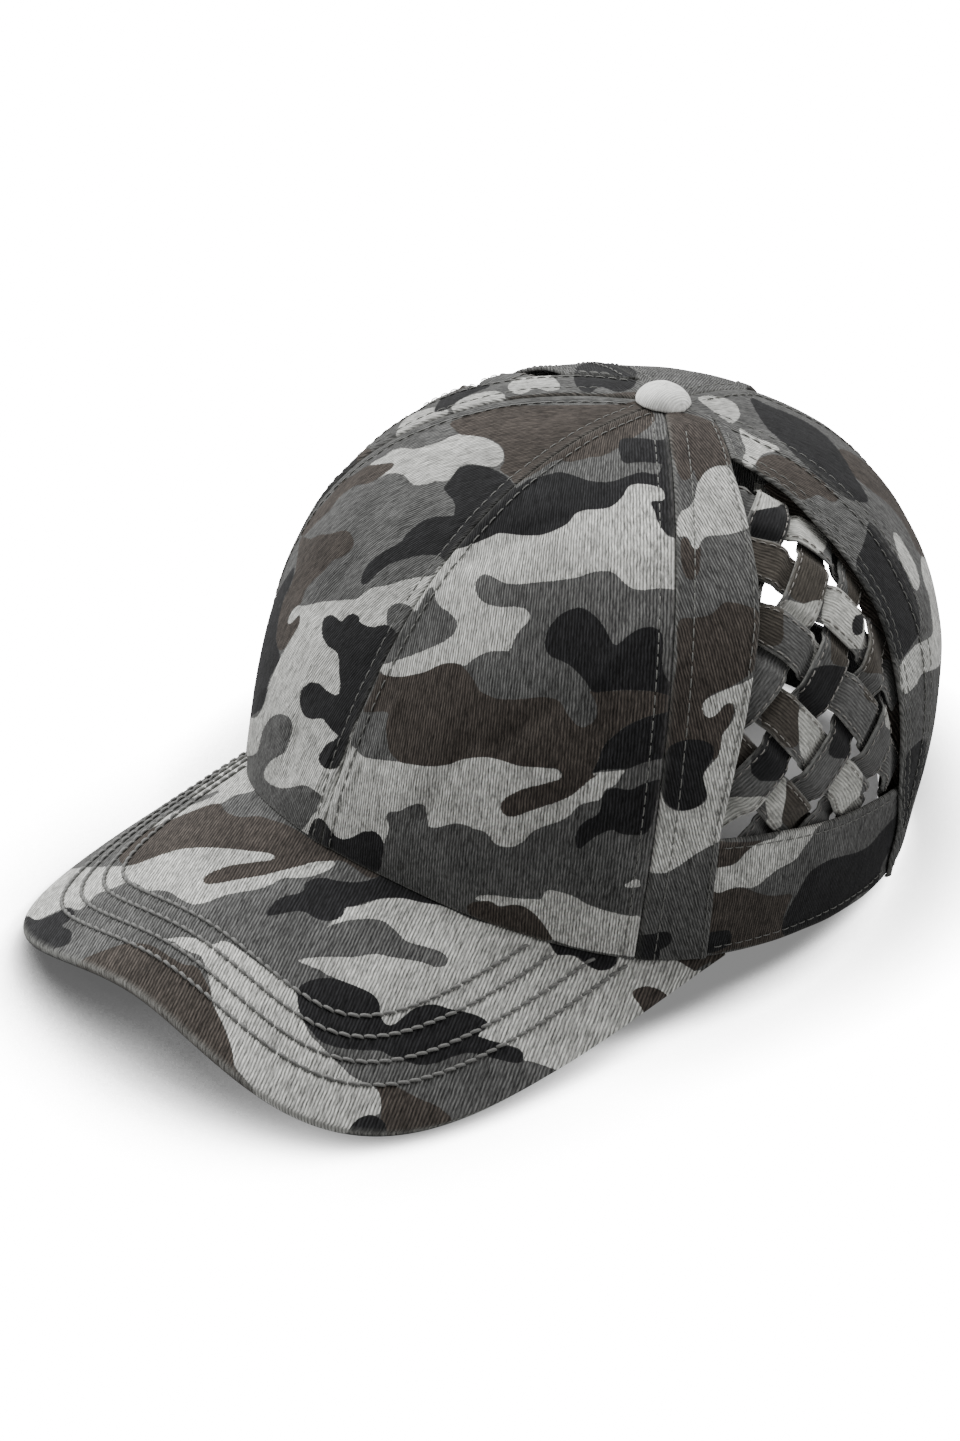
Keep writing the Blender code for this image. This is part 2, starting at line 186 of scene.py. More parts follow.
# Emission that the camera sees as the table: white glow darkened by the painted shade.
glow_with_painted_shade = node(table_paint_and_painted_shade, "Emission", [("Strength", glow)])
outside = maths(table_paint_and_painted_shade, "GREATER_THAN", oval_reach(UNDER_CAP_MIDDLE, UNDER_CAP), 1.0)
camera_ray = node(table_paint_and_painted_shade, "LightPath").outputs["Is Camera Ray"]
painted_glow_share = maths(table_paint_and_painted_shade, "MULTIPLY", outside, camera_ray)
either = node(table_paint_and_painted_shade, "MixShader", [(0, painted_glow_share), (1, shader.outputs[0]),
                                         (2, glow_with_painted_shade.outputs[0])])
surface = table_paint_and_painted_shade.node_tree.nodes["Material Output"].inputs["Surface"]
table_paint_and_painted_shade.node_tree.links.new(either.outputs[0], surface)
table_mesh = bpy.data.meshes.new("table")
ends = [-TABLE_HALF, TABLE_HALF]
table_mesh.from_pydata([(x, y, 0.0) for y in ends for x in ends], [], [(0, 1, 3, 2)])
table_mesh.materials.append(table_paint_and_painted_shade)
table = bpy.data.objects.new("table", table_mesh)
bpy.context.scene.collection.objects.link(table)

sun_data = bpy.data.lights.new("soft_sun", "SUN")
sun_data.energy = SUN_STRENGTH
sun_data.angle = SUN_SPREAD
sun = bpy.data.objects.new("soft_sun", sun_data)
sun.rotation_euler = Vector(SUN_TOWARD).to_track_quat("Z", "Y").to_euler()
bpy.context.scene.collection.objects.link(sun)
for name, place, size, watts in (("front_softbox", FILL_PLACE, FILL_SIZE, FILL_WATTS),
                                 ("side_softbox", SIDE_PLACE, SIDE_SIZE, SIDE_WATTS)):
    softbox = bpy.data.lights.new(name, "AREA")
    softbox.size = size
    softbox.energy = watts
    lamp = bpy.data.objects.new(name, softbox)
    lamp.location = place
    lamp.rotation_euler = Vector(place).to_track_quat("Z", "Y").to_euler()
    bpy.context.scene.collection.objects.link(lamp)

room = bpy.data.worlds.new("white_studio_sky")
room.use_nodes = True
background = room.node_tree.nodes["Background"]
sky_ray = node(room, "LightPath").outputs["Is Camera Ray"]
brightness = ramp(room, sky_ray, target=(SKY_LIGHT, SKY_BURNT))
room.node_tree.links.new(brightness, background.inputs["Strength"])
background.inputs["Color"].default_value = linear("#ffffff")
bpy.context.scene.world = room


# Front panels. Two curved gores of washed cotton twill, printed in four greys and browns, sewn
# together over the forehead with a row of stitching on each side of the seam.
HALF_LENGTH = 0.0978
HALF_WIDTH = 0.0836
RIM_FORWARD = 0.0035
CROWN_HEIGHT = 0.1153
TOP_BACK = 0.0067
SIDE_SEAM = radians(58.3)
REAR_SEAM = radians(116.0)
CROWN_TOP = 0.99
SQUARENESS = (2.107, 2.523, 2.578)
BULGE = (-0.038, 0.138, 0.047)
RIM_DROP = -0.0015
RIM_BACK_RISE = 0.0021
BRIM_REACH = 0.0622
BRIM_WRAP = radians(74.8)
BRIM_ARCH = 0.0355
BRIM_ARCH_GAIN = 0.0012
BRIM_SLOPE = 0.271
BRIM_NOSE_DROP = 0.006
BRIM_NOSE_START = 0.96
BRIM_NOSE_RUN = 1.13
ARCH_SQUARENESS = 2.466
ARCH_SOFTENING = 0.444
WINDOW_MIDDLE = radians(85.0)
LEAN = radians(-7.994993)
FOOT = np.array([0.0, -0.033530, -0.010679])
CLOTH = 0.0012
SEAM_ROLL = 0.0008
SEAM_ALLOWANCE = 0.00035
STITCH_INSET = 0.0033
STITCH_PITCH = 0.0032
STITCH_LENGTH = 0.0027
STITCH_THREAD = 0.00018
STITCH_WANDER = 0.06
STITCH_DIP = 0.00022
STITCH_DIP_WIDTH = 0.0008
PUCKER_SIZE = 0.0045
ALLOWANCE_START = 0.0004
ALLOWANCE_RUN = 0.0012
# Unevenness of the cloth: rise, size and seed
UNEVEN = ((0.00035, 0.022, 3), (0.00018, 0.009, 4))
NOISE_SHIFT = 0.4
NOISE_CELLS = 24
WORN_EDGE = 0.55
WORN_REACH = 0.0005


def smooth(share):
    """Ease from 0 to 1 with level ends: 3 s squared less 2 s cubed."""
    s = np.clip(share, 0, 1)
    return s * s * (3 - 2 * s)


def by_side(angle, values):
    """Front, side and back value blended by the square of the angle's cosine."""
    c = np.cos(angle)
    ahead = np.clip(c, 0, 1) ** 2
    behind = np.clip(-c, 0, 1) ** 2
    return ahead * values[0] + behind * values[2] + (1 - ahead - behind) * values[1]


WING_X = HALF_WIDTH * np.sin(BRIM_WRAP)
WING_Y = -HALF_LENGTH * np.cos(BRIM_WRAP) - RIM_FORWARD


def brim_height(x, y):
    """Height of the bent brim: an arch across, a slope forward and a slight droop of the nose."""
    forward = np.clip((WING_Y - y) / HALF_LENGTH, 0, 2)
    power = ARCH_SQUARENESS - ARCH_SOFTENING * forward
    arch = (BRIM_ARCH + BRIM_ARCH_GAIN * forward) * (np.abs(x) / WING_X) ** power - BRIM_ARCH
    nose = forward * HALF_LENGTH / BRIM_REACH - BRIM_NOSE_START
    nose = np.clip(nose / BRIM_NOSE_RUN, 0, 2) ** 2
    return RIM_DROP - arch - (WING_Y - y) * BRIM_SLOPE - BRIM_NOSE_DROP * nose


def rim(angle, inset=0.0):
    """Crown's lower edge: an ellipse that follows the brim, then runs level to the back."""
    a = np.abs(angle)
    x = (HALF_WIDTH - inset) * np.sin(angle)
    y = -(HALF_LENGTH - inset) * np.cos(angle) - RIM_FORWARD
    front = brim_height(HALF_WIDTH * np.sin(angle), -HALF_LENGTH * np.cos(angle) - RIM_FORWARD)
    back = RIM_DROP + (RIM_BACK_RISE - RIM_DROP) * smooth((a - BRIM_WRAP) / (np.pi - BRIM_WRAP))
    return x, y, np.where(a < BRIM_WRAP, front, back)


def crown(angle, share):
    """Crown point: every meridian is a superellipse from the rim, share 0, to the top, share 1."""
    angle, share = np.broadcast_arrays(np.asarray(angle, float), np.asarray(share, float))
    x, y, z = rim(angle)
    power = by_side(angle, SQUARENESS)
    bulge = by_side(angle, BULGE)
    out = np.abs(np.cos(np.pi / 2 * share)) ** (2 / power) * (1 + bulge * 4 * share * (1 - share))
    up = np.abs(np.sin(np.pi / 2 * share)) ** (2 / power)
    return np.stack([x * out, TOP_BACK + (y - TOP_BACK) * out, z + (CROWN_HEIGHT - z) * up], -1)


def spread(angle, share):
    """Metres along the crown per radian of angle, from points a milliradian to each side."""
    step = 1e-3
    reach = crown(angle + step, share) - crown(angle - step, share)
    return np.linalg.norm(reach, axis=-1) / (2 * step)


def outward(angle, share):
    """Unit normal of the crown: the cross product of its two directions."""
    step = 1e-3
    share = np.clip(share, 2 * step, 1 - 2 * step)
    round_way = crown(angle + step, share) - crown(angle - step, share)
    up_way = crown(angle, share + step) - crown(angle, share - step)
    normal = np.cross(round_way, up_way)
    return normal / np.linalg.norm(normal, axis=-1, keepdims=True)


def arc_table(angle):
    """Lengths up one meridian at each of the even height shares."""
    line = crown(angle, HEIGHTS)
    return np.append(0, np.cumsum(np.linalg.norm(np.diff(line, axis=0), axis=1)))


HEIGHTS = np.linspace(0, 1, 801)
MIDDLE_ARC = arc_table(WINDOW_MIDDLE)
TOP_ARC = np.interp(CROWN_TOP, HEIGHTS, MIDDLE_ARC)


def in_place(points, left=True):
    """Points of the upright left half, mirrored if need be, leaned and set on the table."""
    c, s = np.cos(LEAN), np.sin(LEAN)
    x = points[..., 0] if left else -points[..., 0]
    y = points[..., 1] * c - points[..., 2] * s
    z = points[..., 1] * s + points[..., 2] * c
    return np.stack([x, y, z], -1) - FOOT


def ripple(points, size, seed):
    """Smooth noise from -1 to 1: seeded random values on a cubic lattice, eased between."""
    lattice = np.random.default_rng(seed).uniform(-1, 1, (NOISE_CELLS,) * 3)
    place = points / size
    cell = np.floor(place).astype(int)
    share = smooth(place - cell)
    total = 0.0
    for corner in range(8):
        step = np.array([corner & 1, corner >> 1 & 1, corner >> 2 & 1])
        weight = np.prod(np.where(step, share, 1 - share), axis=-1)
        at = (cell + step) % NOISE_CELLS
        total = total + weight * lattice[at[..., 0], at[..., 1], at[..., 2]]
    return total


def rounded_outline(corners):
    """Closed smooth curve through given corners: a Catmull-Rom spline, four steps a side."""
    p = np.array(corners, float)
    before, after, beyond = np.roll(p, 1, 0), np.roll(p, -1, 0), np.roll(p, -2, 0)
    t = np.linspace(0, 1, 4, endpoint=False)[None, :, None]
    a, b, c, d = before[:, None], p[:, None], after[:, None], beyond[:, None]
    curve = 2 * b + (c - a) * t + (2 * a - 5 * b + 4 * c - d) * t ** 2
    curve = curve + (3 * b - a - 3 * c + d) * t ** 3
    return (curve / 2).reshape(-1, 2)


OUTLINE_REACH = 30.0
CROWN_CURVE_MM = 80.0
POINTS_AT_ONCE = 4000
TINY = 1e-9


def depth_inside(pixels, corners):
    """Least distance to a closed outline, positive inside it, and capped far from it."""
    depth = np.full(len(pixels), -OUTLINE_REACH)
    outline = rounded_outline(corners)
    low, high = outline.min(0) - OUTLINE_REACH, outline.max(0) + OUTLINE_REACH
    near = np.flatnonzero(np.all((pixels > low) & (pixels < high), axis=1))
    start, side = outline, np.roll(outline, -1, 0) - outline
    length = np.maximum((side ** 2).sum(-1), TINY)
    for part in np.array_split(near, len(near) // POINTS_AT_ONCE + 1):
        offset = pixels[part, None, :] - start[None]
        along = np.clip((offset * side).sum(-1) / length, 0, 1)
        gap = offset - along[..., None] * side
        least = np.sqrt((gap ** 2).sum(-1).min(1))
        above = start[:, 1] > pixels[part, 1:2]
        crosses = above != np.roll(above, -1, 1)
        rise = np.where(side[:, 1] == 0, TINY, side[:, 1])
        reach = start[:, 0] + side[:, 0] * (pixels[part, 1:2] - start[:, 1]) / rise
        inside = (crosses & (pixels[part, 0:1] < reach)).sum(1) % 2 == 1
        depth[part] = np.where(inside, least, -least)
    return np.clip(depth, -OUTLINE_REACH, OUTLINE_REACH)


CAMOUFLAGE_LAYERS = ("light", "grey", "brown", "black")
BLOB_LAYERS = {
    # layer: blob size, cut-off of the noise, seed
    "light": (0.024, 0.06, 11),
    "grey": (0.017, 0.34, 12),
    "brown": (0.021, 0.22, 13),
    "black": (0.016, 0.26, 14),
}


BLOB_STRETCH = np.array([0.75, 0.75, 1.35])
BLOB_SHIFT = 0.35
BLOB_MM = 500
# Bend of the blobs: its size and reach as shares of theirs, and its seed over theirs
BEND_SIZE, BEND_REACH, BEND_SEED = 0.55, 0.30, 40
VIEW_EDGE = 0.03
PRINT_LIMIT_MM = 6.0


def camouflage(points, normals, chart):
    """Millimetres that each point lies inside each print colour: from outlines charted in photo
    pixels where the surface faces the camera, and from seeded blobs where it doesn't."""
    pixels = in_photo(points)
    toward = CAMERA_PLACE - points
    toward = toward / np.linalg.norm(toward, axis=-1, keepdims=True)
    in_view = ((normals * toward).sum(-1) - VIEW_EDGE) * CROWN_CURVE_MM
    layers = []
    for layer in CAMOUFLAGE_LAYERS:
        size, cut, seed = BLOB_LAYERS[layer]
        place = points * BLOB_STRETCH + BLOB_SHIFT
        bend = [ripple(place, size * BEND_SIZE, seed + BEND_SEED + way) for way in range(3)]
        place = place + np.stack(bend, -1) * size * BEND_REACH
        blob = (ripple(place, size, seed) - cut) * size * BLOB_MM
        seen = np.full(len(points), -OUTLINE_REACH)
        for outline in chart.get(layer, []):
            seen = np.maximum(seen, depth_inside(pixels, outline))
        seen = np.minimum(seen / PIXELS_PER_MM, in_view)
        depth = np.maximum(seen, np.minimum(blob, -in_view))
        layers.append(np.clip(depth, -PRINT_LIMIT_MM, PRINT_LIMIT_MM))
    return layers


def no_print(points):
    """Print depths of plain cloth, far outside every colour."""
    return [np.full(len(points), -PRINT_LIMIT_MM) for layer in CAMOUFLAGE_LAYERS]


def finish_piece(piece, slot_name, *nodes):
    """Puts a piece in the scene, on the body and for its CAD nodes. Its slot name is not used."""
    bpy.context.scene.collection.objects.link(piece)
    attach(piece, "root")
    if nodes:
        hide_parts(*nodes)
    return piece


def grid_faces(rows, columns, closed=False):
    """Quads of a grid of points, row by row, joined round where its columns are closed."""
    number = np.arange(rows * columns).reshape(rows, columns)
    if closed:
        number = np.concatenate([number, number[:, :1]], axis=1)
    corners = [number[:-1, :-1], number[1:, :-1], number[1:, 1:], number[:-1, 1:]]
    return np.stack(corners, -1).reshape(-1, 4)


def cloth_mesh(name, points, flat_mm, faces, layers, worn, material):
    """Mesh with the cloth's flat place in millimetres as its UV map, and its print stored."""
    mesh = bpy.data.meshes.new(name)
    mesh.vertices.add(len(points))
    mesh.vertices.foreach_set("co", points.ravel())
    mesh.loops.add(faces.size)
    mesh.loops.foreach_set("vertex_index", faces.ravel())
    mesh.polygons.add(len(faces))
    mesh.polygons.foreach_set("loop_start", np.arange(0, faces.size, 4))
    mesh.polygons.foreach_set("loop_total", np.full(len(faces), 4))
    mesh.update(calc_edges=True)
    mesh.validate()
    mesh.polygons.foreach_set("use_smooth", np.ones(len(mesh.polygons), bool))
    used = np.zeros(len(mesh.loops), int)
    mesh.loops.foreach_get("vertex_index", used)
    flat_map = mesh.uv_layers.new(name="flat_cloth_mm")
    flat_map.data.foreach_set("uv", flat_mm[used].ravel())
    for layer, value in zip(CAMOUFLAGE_LAYERS + ("worn",), list(layers) + [worn]):
        stored = mesh.attributes.new(layer, "FLOAT", "POINT")
        stored.data.foreach_set("value", np.ascontiguousarray(value, np.float32))
    mesh.materials.append(material)
    return bpy.data.objects.new(name, mesh)


def thicken(piece):
    """Gives a single surface the cloth's thickness, inwards."""
    wall = piece.modifiers.new("cloth wall", "SOLIDIFY")
    wall.thickness = CLOTH
    wall.offset = -1.0
    return piece


def crease_height(pixels, x0, y0, x1, y1, width, rise_mm):
    """Soft ridge or valley along a line charted in photo pixels: a bell curve of distance."""
    start, side = np.array([x0, y0]), np.array([x1 - x0, y1 - y0])
    along = np.clip(((pixels - start) @ side) / (side @ side), 0, 1)
    gap = np.linalg.norm(pixels - start - along[..., None] * side, axis=-1)
    return rise_mm / 1000 * np.exp(-(gap / width) ** 2)


def edge_roll(distance, radius):
    """Drop of a folded edge: a quarter circle over its last radius of width."""
    short = np.clip(1 - distance / radius, 0, 1)
    return -radius * (1 - np.sqrt(np.maximum(1 - short * short, 0)))


def sewn_surface(start_edge, end_edge, low, top, rows=(), raise_by=0.0, rolls=(1, 1, 1, 1),
                 creases=()):
    """Surface of one sewn piece of the crown: u runs round from its front edge, v up from its
    lower edge. Its height over the crown is a roll at each edge, a dip at each stitch row with
    the seam allowance's thickness outside it, soft unevenness and creases. Rows are (edge,
    inset): start, end, low or top, and metres from it."""
    def at(u, v):
        u, v = np.broadcast_arrays(np.asarray(u, float), np.asarray(v, float))
        arc = low + (top(u) - low) * v
        share = np.interp(arc, MIDDLE_ARC, HEIGHTS)
        start, end = start_edge(share), end_edge(share)
        angle = start + (end - start) * u
        wide = (end - start) * spread((start + end) / 2, share)
        return angle, share, {"start": u * wide, "end": (1 - u) * wide,
                              "low": arc - low, "top": top(u) - arc}

    def place(u, v, left, lift=0.0):
        angle, share, gaps = at(u, v)
        normal = outward(angle, share)
        base = crown(angle, share)
        side = base * np.array([1.0 if left else -1.0, 1.0, 1.0]) + NOISE_SHIFT
        height = raise_by + lift
        for rise, size, seed in UNEVEN:
            height = height + rise * ripple(side, size, seed)
        for edge, radius in zip(("start", "end", "low", "top"), rolls):
            if radius:
                height = height + edge_roll(gaps[edge], SEAM_ROLL * radius)
        for edge, inset in rows:
            beyond = gaps[edge] - inset
            pucker = 0.8 + 0.5 * ripple(side, PUCKER_SIZE, 5)
            height = height - STITCH_DIP * pucker * np.exp(-(beyond / STITCH_DIP_WIDTH) ** 2)
            level = smooth((beyond + ALLOWANCE_START) / ALLOWANCE_RUN)
            height = height + SEAM_ALLOWANCE * (1 - level)
        for crease in creases:
            height = height + crease_height(in_photo(in_place(base, left)), *crease)
        return base + normal * height[..., None], normal, angle, share, gaps
    return place


def crowded(count, share):
    """Even steps from 0 to 1, drawn together at both ends by a share of the smooth ease."""
    even = np.linspace(0, 1, count + 1)
    return even + share * (smooth(even) - even) * 2


def turned_flat(flat, turn):
    """Flat places turned on the cloth, which turns its ribs."""
    c, s = np.cos(turn), np.sin(turn)
    return flat @ np.array([[c, s], [-s, c]])


def sewn_piece(name, place, left, chart, material, across, up, turn=0.0, grain="middle"):
    """Closed cloth wall of one sewn piece: its dense outer surface, solidified inwards. The
    grain of the cloth runs along the piece's middle or along its end edge."""
    u, v = crowded(across, 0.35)[:, None], crowded(up, 0.15)[None, :]
    points, normal, angle, share, gaps = place(u, v, left)
    wide = gaps["start"] + gaps["end"]
    flat_x = -gaps["end"] if grain == "end" else gaps["start"] - wide / 2
    flat = turned_flat(np.stack([flat_x, gaps["low"]], -1).reshape(-1, 2) * 1000, turn)
    points = in_place(points, left).reshape(-1, 3)
    normal = (in_place(normal, left) + FOOT).reshape(-1, 3)
    faces = grid_faces(across + 1, up + 1)
    if not left:
        faces = faces[:, ::-1]
    layers = camouflage(points, normal, chart)
    least = np.minimum.reduce([gaps[edge] for edge in ("start", "end", "low", "top")])
    worn = WORN_EDGE * np.exp(-least / WORN_REACH).ravel()
    return thicken(cloth_mesh(name, points, flat, faces, layers, worn, material))


# A stitch from end to end: places along it, and its thickness there
STITCH_REACH = np.array([-1.0, -0.86, -0.45, 0.0, 0.45, 0.86, 1.0])
STITCH_SWELL = np.array([0.25, 0.8, 1.0, 1.0, 1.0, 0.8, 0.25])
STITCH_DIVE = 1.9
THREAD_SIDES = 5


def thread_rows(name, lines, material, pitch=STITCH_PITCH, length=STITCH_LENGTH,
                radius=STITCH_THREAD, slant=0.0):
    """Rows of stitches: every stitch is a five-sided thread that arches out of the cloth and
    dives back at both ends, turned a little from its row. Lines are (points, normals)."""
    ring = np.arange(THREAD_SIDES) * 2 * np.pi / THREAD_SIDES
    all_points, all_faces, used = [], [], 0
    for points, normals in lines:
        arc = np.append(0, np.cumsum(np.linalg.norm(np.diff(points, axis=0), axis=1)))
        end_room = length / 2 + STITCH_WANDER * pitch
        middle = np.arange(end_room, arc[-1] - end_room, pitch)
        random = np.random.default_rng(len(points) + len(middle))
        wander = random.uniform(-STITCH_WANDER, STITCH_WANDER, (len(middle), 1))
        at = middle[:, None] + wander * pitch + STITCH_REACH * length / 2
        centre = np.stack([np.interp(at, arc, points[:, k]) for k in range(3)], -1)
        normal = np.stack([np.interp(at, arc, normals[:, k]) for k in range(3)], -1)
        along = np.gradient(centre, axis=1)
        along = along / np.linalg.norm(along, axis=-1, keepdims=True)
        side = np.cross(along, normal)
        side = side / np.linalg.norm(side, axis=-1, keepdims=True)
        centre = centre + side * (slant * STITCH_REACH * length / 2)[None, :, None]
        rise = (radius * (1.0 - STITCH_DIVE * STITCH_REACH ** 4))[None, :, None, None]
        thick = (radius * STITCH_SWELL)[None, :, None, None]
        normal, side = normal[:, :, None], side[:, :, None]
        around = np.cos(ring)[:, None] * normal + np.sin(ring)[:, None] * side
        shell = centre[:, :, None] + normal * rise + around * thick
        count = len(middle)
        quads = grid_faces(len(STITCH_REACH), THREAD_SIDES, closed=True)
        size = len(STITCH_REACH) * THREAD_SIDES
        faces = quads[None] + np.arange(count)[:, None, None] * size
        all_points.append(shell.reshape(-1, 3))
        all_faces.append(faces.reshape(-1, 4) + used)
        used += count * size
    points = np.concatenate(all_points)
    faces = np.concatenate(all_faces)
    mesh = bpy.data.meshes.new(name)
    mesh.from_pydata(points.tolist(), [], faces.tolist())
    mesh.polygons.foreach_set("use_smooth", np.ones(len(mesh.polygons), bool))
    mesh.materials.append(material)
    return bpy.data.objects.new(name, mesh)


def seam_line(place, left, edge, inset, ends=(0.0, 1.0)):
    """Points and normals of a stitch row at an even distance from one edge of a sewn surface."""
    run = np.linspace(ends[0], ends[1], 240)
    if edge in ("start", "end"):
        share = np.full_like(run, 0.5)
        gaps = place(share, run, left)[4]
        across = inset / (gaps["start"] + gaps["end"])
        u, v = (across if edge == "start" else 1 - across), run
        keep = across < 0.5
        u, v = u[keep], v[keep]
    else:
        gaps = place(run, np.full_like(run, 0.5), left)[4]
        rise = inset / (gaps["low"] + gaps["top"])
        u, v = run, (rise if edge == "low" else 1 - rise)
    points, normals, _, _, _ = place(u, v, left)
    return in_place(points, left), in_place(normals, left) + FOOT


# Colours in the order of CAMOUFLAGE_LAYERS; the ground has the second one
PRINTS = ("#acaca8", "#525251", "#3f3a36", "#222223")
BARE_YARN = "#8f8f8b"
NOISE_RANGE = (0.3, 0.7)
FUZZ_MM = 0.13
PRINT_EDGE_MM = 0.1
RIB_WOBBLE_MM = 0.5
RIB_WAVE = 0.314
YARN_STRETCH = 0.18
FADING = 0.18
WEAR_RANGE = (0.25, 0.70)


def camouflage_twill(name, prints, rib_mm=0.75, rib_turn=0.0, contrast=0.54, yarn_contrast=0.64):
    """Washed cotton drill, printed in four colours: fine slanting ribs under a matt print that
    the wash has faded unevenly, so the eye sees ribs, specks of bare yarn and slightly furry
    print edges. Rib width is a real 0.75 mm."""
    material, shader = new_material(name)
    flat = node(material, "UVMap", uv_map="flat_cloth_mm").outputs["UV"]
    place = node(material, "TexCoord").outputs["Object"]
    fuzz = node(material, "TexNoise", [("Vector", place)], Scale=1900.0, Detail=2.0)
    edge = ramp(material, fuzz.outputs["Fac"], NOISE_RANGE, (-FUZZ_MM, FUZZ_MM))
    colour = None
    for layer, tone in zip(CAMOUFLAGE_LAYERS, prints):
        depth = node(material, "Attribute", attribute_name=layer).outputs["Fac"]
        rough = maths(material, "ADD", depth, edge)
        share = ramp(material, rough, (-PRINT_EDGE_MM, PRINT_EDGE_MM))
        mix = node(material, "Mix", [(0, share)], data_type="RGBA")
        if colour is None:
            mix.inputs[6].default_value = linear(prints[1])
        else:
            material.node_tree.links.new(colour, mix.inputs[6])
        mix.inputs[7].default_value = linear(tone)
        colour = mix.outputs[2]
    turned = node(material, "Mapping", [("Vector", flat)], vector_type="POINT",
                  Rotation=(0, 0, rib_turn)).outputs[0]
    wobble = node(material, "TexNoise", [("Vector", flat)], Scale=0.35, Detail=3.0)
    shift = node(material, "VectorMath", [(0, wobble.outputs["Color"])], operation="SCALE",
                 Scale=RIB_WOBBLE_MM).outputs[0]
    bent = node(material, "VectorMath", [(0, turned), (1, shift)], operation="ADD").outputs[0]
    ribs = node(material, "TexWave", [("Vector", bent)], wave_type="BANDS", bands_direction="X",
                wave_profile="SIN", Scale=RIB_WAVE / rib_mm, Distortion=0.0).outputs["Fac"]
    drawn = node(material, "Mapping", [("Vector", bent)], vector_type="POINT",
                 Scale=(1.0, YARN_STRETCH, 1.0)).outputs[0]
    yarn = node(material, "TexNoise", [("Vector", drawn)], Scale=2.3, Detail=2.5,
                Roughness=0.65).outputs["Fac"]
    cloud = node(material, "TexNoise", [("Vector", place)], Scale=70.0, Detail=4.0)
    tone = ramp(material, ribs, target=(1 - contrast, 1 + contrast))
    speck = ramp(material, yarn, NOISE_RANGE, (1 - yarn_contrast, 1 + yarn_contrast))
    fade = ramp(material, cloud.outputs["Fac"], NOISE_RANGE, (1 - FADING, 1 + FADING))
    every = maths(material, "MULTIPLY", maths(material, "MULTIPLY", tone, speck), fade)
    shaded = node(material, "VectorMath", [(0, colour), ("Scale", every)], operation="SCALE")
    worn = node(material, "Attribute", attribute_name="worn").outputs["Fac"]
    wear = maths(material, "MULTIPLY", worn, ramp(material, yarn, WEAR_RANGE))
    pale = node(material, "Mix", [(0, wear), (6, shaded.outputs[0])], data_type="RGBA")
    pale.inputs[7].default_value = linear(BARE_YARN)
    material.node_tree.links.new(pale.outputs[2], shader.inputs["Base Color"])
    height = maths(material, "ADD", ribs, yarn)
    bump = node(material, "Bump", [("Height", height)], Strength=0.6, Distance=0.00012)
    material.node_tree.links.new(bump.outputs[0], shader.inputs["Normal"])
    shader.inputs["Roughness"].default_value = 0.95
    shader.inputs["Specular IOR Level"].default_value = 0.12
    shader.inputs["Sheen Weight"].default_value = 0.04
    shader.inputs["Sheen Roughness"].default_value = 0.5
    return material


panel_twill = camouflage_twill("washed_cotton_twill_panels", PRINTS)


def sewing_thread(name, colour):
    """Spun polyester thread: satin, with its colour broken a little by its twist."""
    material, shader = new_material(name)
    place = node(material, "TexCoord").outputs["Object"]
    twist = node(material, "TexNoise", [("Vector", place)], Scale=2600.0, Detail=1.0)
    tone = ramp(material, twist.outputs["Fac"], target=(0.75, 1.25))
    base = node(material, "VectorMath", [("Scale", tone)], operation="SCALE")
    base.inputs[0].default_value = linear(colour)[:3]
    material.node_tree.links.new(base.outputs[0], shader.inputs["Base Color"])
    shader.inputs["Roughness"].default_value = 0.6
    shader.inputs["Specular IOR Level"].default_value = 0.3
    return material


seam_thread = sewing_thread("grey_spun_polyester_thread", "#70706d")

